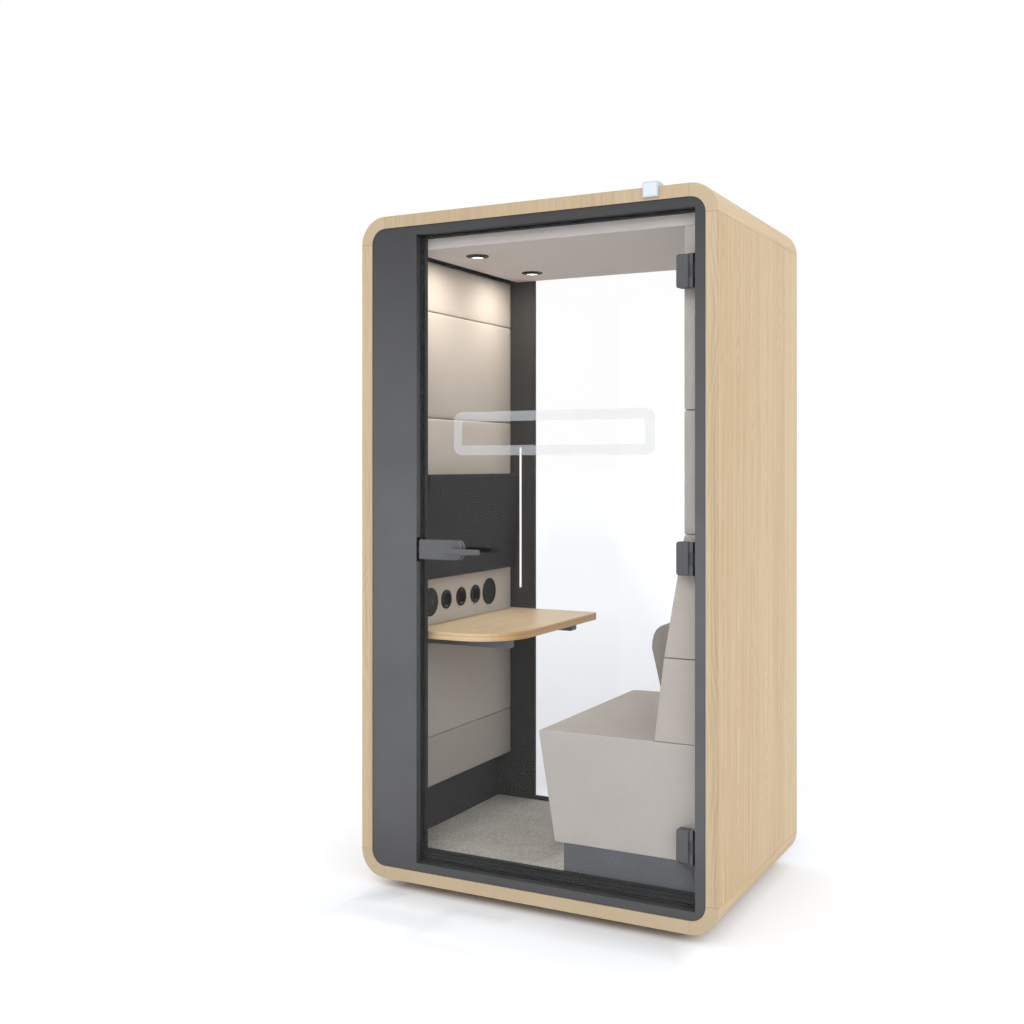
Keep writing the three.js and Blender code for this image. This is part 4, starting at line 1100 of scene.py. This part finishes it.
def socket_contacts():
    """Two spring contacts in each socket's recess, and two pin wells in its floor."""
    half = CONTACT_WIDTH / 2
    contact = rounded_rectangle(-half, half, 0.0, CONTACT_LENGTH, CONTACT_CORNER, CONTACT_CORNER_STEPS)
    well = [
        (WELL_OUTER_RADIUS, RECESS_CLEARANCE), (WELL_OUTER_RADIUS, WELL_HEIGHT),
        (WELL_INNER_RADIUS, WELL_HEIGHT), (WELL_INNER_RADIUS, RECESS_CLEARANCE),
    ]
    for number, socket in enumerate(power_sockets, 1):
        low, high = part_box(socket)
        middle = (low + high) / 2
        floor = high.x - SOCKET_RECESS
        contacts = bmesh.new()
        wells = bmesh.new()
        for side in (-1, 1):

            def at_contact(u, v, level):
                above = middle.z + side * CONTACT_OFFSET
                return (floor + RECESS_CLEARANCE + v, middle.y + u, above + side * level)

            def at_well(u, v, level):
                return (floor + level, middle.y + side * WELL_OFFSET + u, middle.z + v)

            plate(contacts, contact, at_contact, (0.0, CONTACT_THICKNESS))
            turned(wells, well, at_well, WELL_SIDES, True)
        add_piece(f"socket_contacts_{number}", contacts, "pod", "pin", False)
        add_piece(f"socket_wells_{number}", wells, "pod", "rubber")


def dial_mark():
    """Pale pointer on the dial."""
    low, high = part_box("control_dial")
    middle = (low + high) / 2
    wide = MARK_WIDTH / 2
    tall = MARK_LENGTH / 2
    bm = bmesh.new()
    outline = rounded_rectangle(-wide, wide, -tall, tall, MARK_CORNER, MARK_CORNER_STEPS)
    plate(
        bm, outline, lambda u, v, level: (high.x + level, middle.y + u, middle.z + v), (0.0, MARK_THICKNESS),
    )
    add_piece("dial_mark", bm, "dial", "mark", False)


def sign_lens():
    """Lit face of the occupancy light, with a narrow border round it."""
    low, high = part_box("occupancy_light")
    bm = bmesh.new()
    outline = rounded_rectangle(
        low.x + SIGN_BORDER, high.x - SIGN_BORDER, low.z + SIGN_BORDER, high.z - SIGN_BORDER,
        SIGN_CORNER, SIGN_CORNER_STEPS,
    )
    plate(bm, outline, lambda u, v, level: (u, low.y - level, v), (0.0, FACE_PLATE))
    add_piece("sign_lens", bm, "pod", "sign_lens", False)


wall_panels()
bench_pads()
ceiling_pad()
carpet_piece()
safety_ring()
display_panel()
lamp_lenses()
socket_contacts()
dial_mark()
sign_lens()


# Stage, light and camera
def lifted_by(look, distance, stretches):
    """Adds up the stretches over which the floor gets lighter: from, to, by how much."""
    total = 0.0
    for start, end, share in stretches:
        total = look.math("ADD", look.spread(distance, start, end, 0.0, share), total)
    return total


def open_floor_lift(look, x, y):
    """How much lighter the floor gets with the distance from the pod, to its sides, in front and behind."""
    beside = look.math("SUBTRACT", look.math("ABSOLUTE", x), cad_box[1][0])
    before = look.math("SUBTRACT", cad_box[0][1], y)
    behind = look.math("SUBTRACT", y, cad_box[1][1])
    near = look.math("MAXIMUM", lifted_by(look, beside, SIDE_LIFT), lifted_by(look, before, FRONT_LIFT))
    return look.math("MAXIMUM", near, lifted_by(look, behind, BACK_LIFT))


def floor_lift(look):
    """How much lighter the floor gets away from the pod, and less so in a long painted shadow behind it."""
    x, y = look.axes()[:2]
    aslant = math.sin(SHADOW_TURN)
    straight = math.cos(SHADOW_TURN)
    along = look.math("SUBTRACT", *look.stretched((y, x), (straight, aslant)))
    across = look.math("ADD", *look.stretched((x, y), (straight, aslant)))
    middle = look.math("ADD", look.math("MULTIPLY", along, SHADOW_DRIFT), SHADOW_SHIFT)
    aside = look.math("ABSOLUTE", look.math("SUBTRACT", across, middle))
    within = look.spread(aside, *SHADOW_EDGE, 1.0, 0.0)
    shade = look.math("MULTIPLY", within, look.spread(along, *SHADOW_START))
    # Painted shadow: inside the wedge behind the pod the floor lightens less
    return look.choose(shade, open_floor_lift(look, x, y), lifted_by(look, along, SHADOW_LIFT))


def studio_floor():
    """Pale floor that turns white away from the pod; its rendered shadow near the pod is shaped by how fast
    it lightens, and a long shadow behind the pod is painted.
    """
    bpy.ops.mesh.primitive_plane_add(size=FLOOR_SIZE, location=(0, 0, 0))
    floor = bpy.context.object
    floor.name = "studio_floor"
    look = Look("studio_floor", {"Roughness": 0.9, "Specular IOR Level": 0.0})
    path = look.node("LightPath").outputs
    seen = look.math("MAXIMUM", path["Is Camera Ray"], path["Is Transmission Ray"])
    seen = look.math("MULTIPLY", seen, look.math("LESS_THAN", path["Diffuse Depth"], 0.5))
    pale = look.mix(look.noise(look.place(), 0.7), hex_colour("d9dbdf"), hex_colour("dddfe2"))
    look.colour(look.mix(seen, hex_colour("f6f6f7"), pale))
    look.feed("Emission Color", hex_colour("fafcff"))
    look.feed("Emission Strength", look.math("MULTIPLY", seen, floor_lift(look)))
    floor.data.materials.append(look.material)


def world_light():
    """Even light from all round, which shows as plain white where it is seen directly."""
    world = bpy.data.worlds.new("studio")
    bpy.context.scene.world = world
    world.use_nodes = True
    links = world.node_tree.links
    shades = world.node_tree.nodes
    back = shades["Background"]
    back.inputs["Color"].default_value = (1, 1, 1, 1)
    path = shades.new("ShaderNodeLightPath").outputs

    def combine(operation, first, second):
        made = shades.new("ShaderNodeMath")
        made.operation = operation
        links.new(first, made.inputs[0])
        if isinstance(second, float):
            made.inputs[1].default_value = second
        else:
            links.new(second, made.inputs[1])
        return made.outputs[0]

    seen = combine("MAXIMUM", path["Is Camera Ray"], path["Is Transmission Ray"])
    seen = combine("MAXIMUM", seen, path["Is Glossy Ray"])
    seen = combine("MULTIPLY", seen, combine("LESS_THAN", path["Diffuse Depth"], 0.5))
    level = shades.new("ShaderNodeMapRange")
    level.inputs["To Min"].default_value = AMBIENT
    level.inputs["To Max"].default_value = 1.0
    links.new(seen, level.inputs["Value"])
    links.new(level.outputs[0], back.inputs["Strength"])


def aimed(light, place, target):
    """Puts a light at a place, turned towards a target."""
    lamp = bpy.data.objects.new(light.name, light)
    bpy.context.scene.collection.objects.link(lamp)
    lamp.location = place
    lamp.rotation_euler = (Vector(target) - Vector(place)).to_track_quat("-Z", "Y").to_euler()
    return lamp


def soft_boxes():
    """Large square lights that don't show in reflections."""
    for name, (place, target, size, power) in SOFT_BOXES.items():
        light = bpy.data.lights.new(name, "AREA")
        light.shape = "SQUARE"
        light.size = size
        light.energy = power
        aimed(light, place, target).visible_glossy = False


def downlights():
    """Warm light from each ceiling lamp: a broad glow on the wall and a wide beam down on the desk."""
    for place, lamp in lamps.items():
        low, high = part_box(lamp)
        middle = (low + high) / 2
        start = (middle.x, middle.y, low.z - COLLAR_DROP - LIGHT_BELOW_COLLAR)
        below = (middle.x, middle.y, 0.0)
        glow = bpy.data.lights.new(f"glow_{place}", "AREA")
        glow.shape = "DISK"
        glow.size = 2 * LENS_RADIUS
        glow.energy = GLOW_POWER
        glow.color = GLOW_COLOUR
        beam = bpy.data.lights.new(f"beam_{place}", "SPOT")
        beam.spot_size = BEAM_ANGLE
        beam.spot_blend = 1.0
        beam.shadow_soft_size = LENS_RADIUS
        beam.energy = BEAM_POWER
        beam.color = BEAM_COLOUR
        for light in (glow, beam):
            source = aimed(light, start, below)
            source.visible_camera = False
            source.visible_glossy = False
            source.visible_transmission = False


def camera():
    """The photograph's camera: level, with its horizon shifted."""
    lens = bpy.data.cameras.new("camera")
    lens.sensor_width = SENSOR
    lens.lens = FOCAL_PIXELS * SENSOR / PHOTO_SIZE
    lens.shift_y = (HORIZON_PIXEL - PHOTO_SIZE / 2) / PHOTO_SIZE
    holder = bpy.data.objects.new("camera", lens)
    bpy.context.scene.collection.objects.link(holder)
    holder.location = CAMERA_PLACE
    holder.rotation_euler = (math.pi / 2, 0, CAMERA_TURN)
    bpy.context.scene.camera = holder


studio_floor()
world_light()
soft_boxes()
downlights()
camera()
bpy.context.scene.view_settings.view_transform = "Standard"
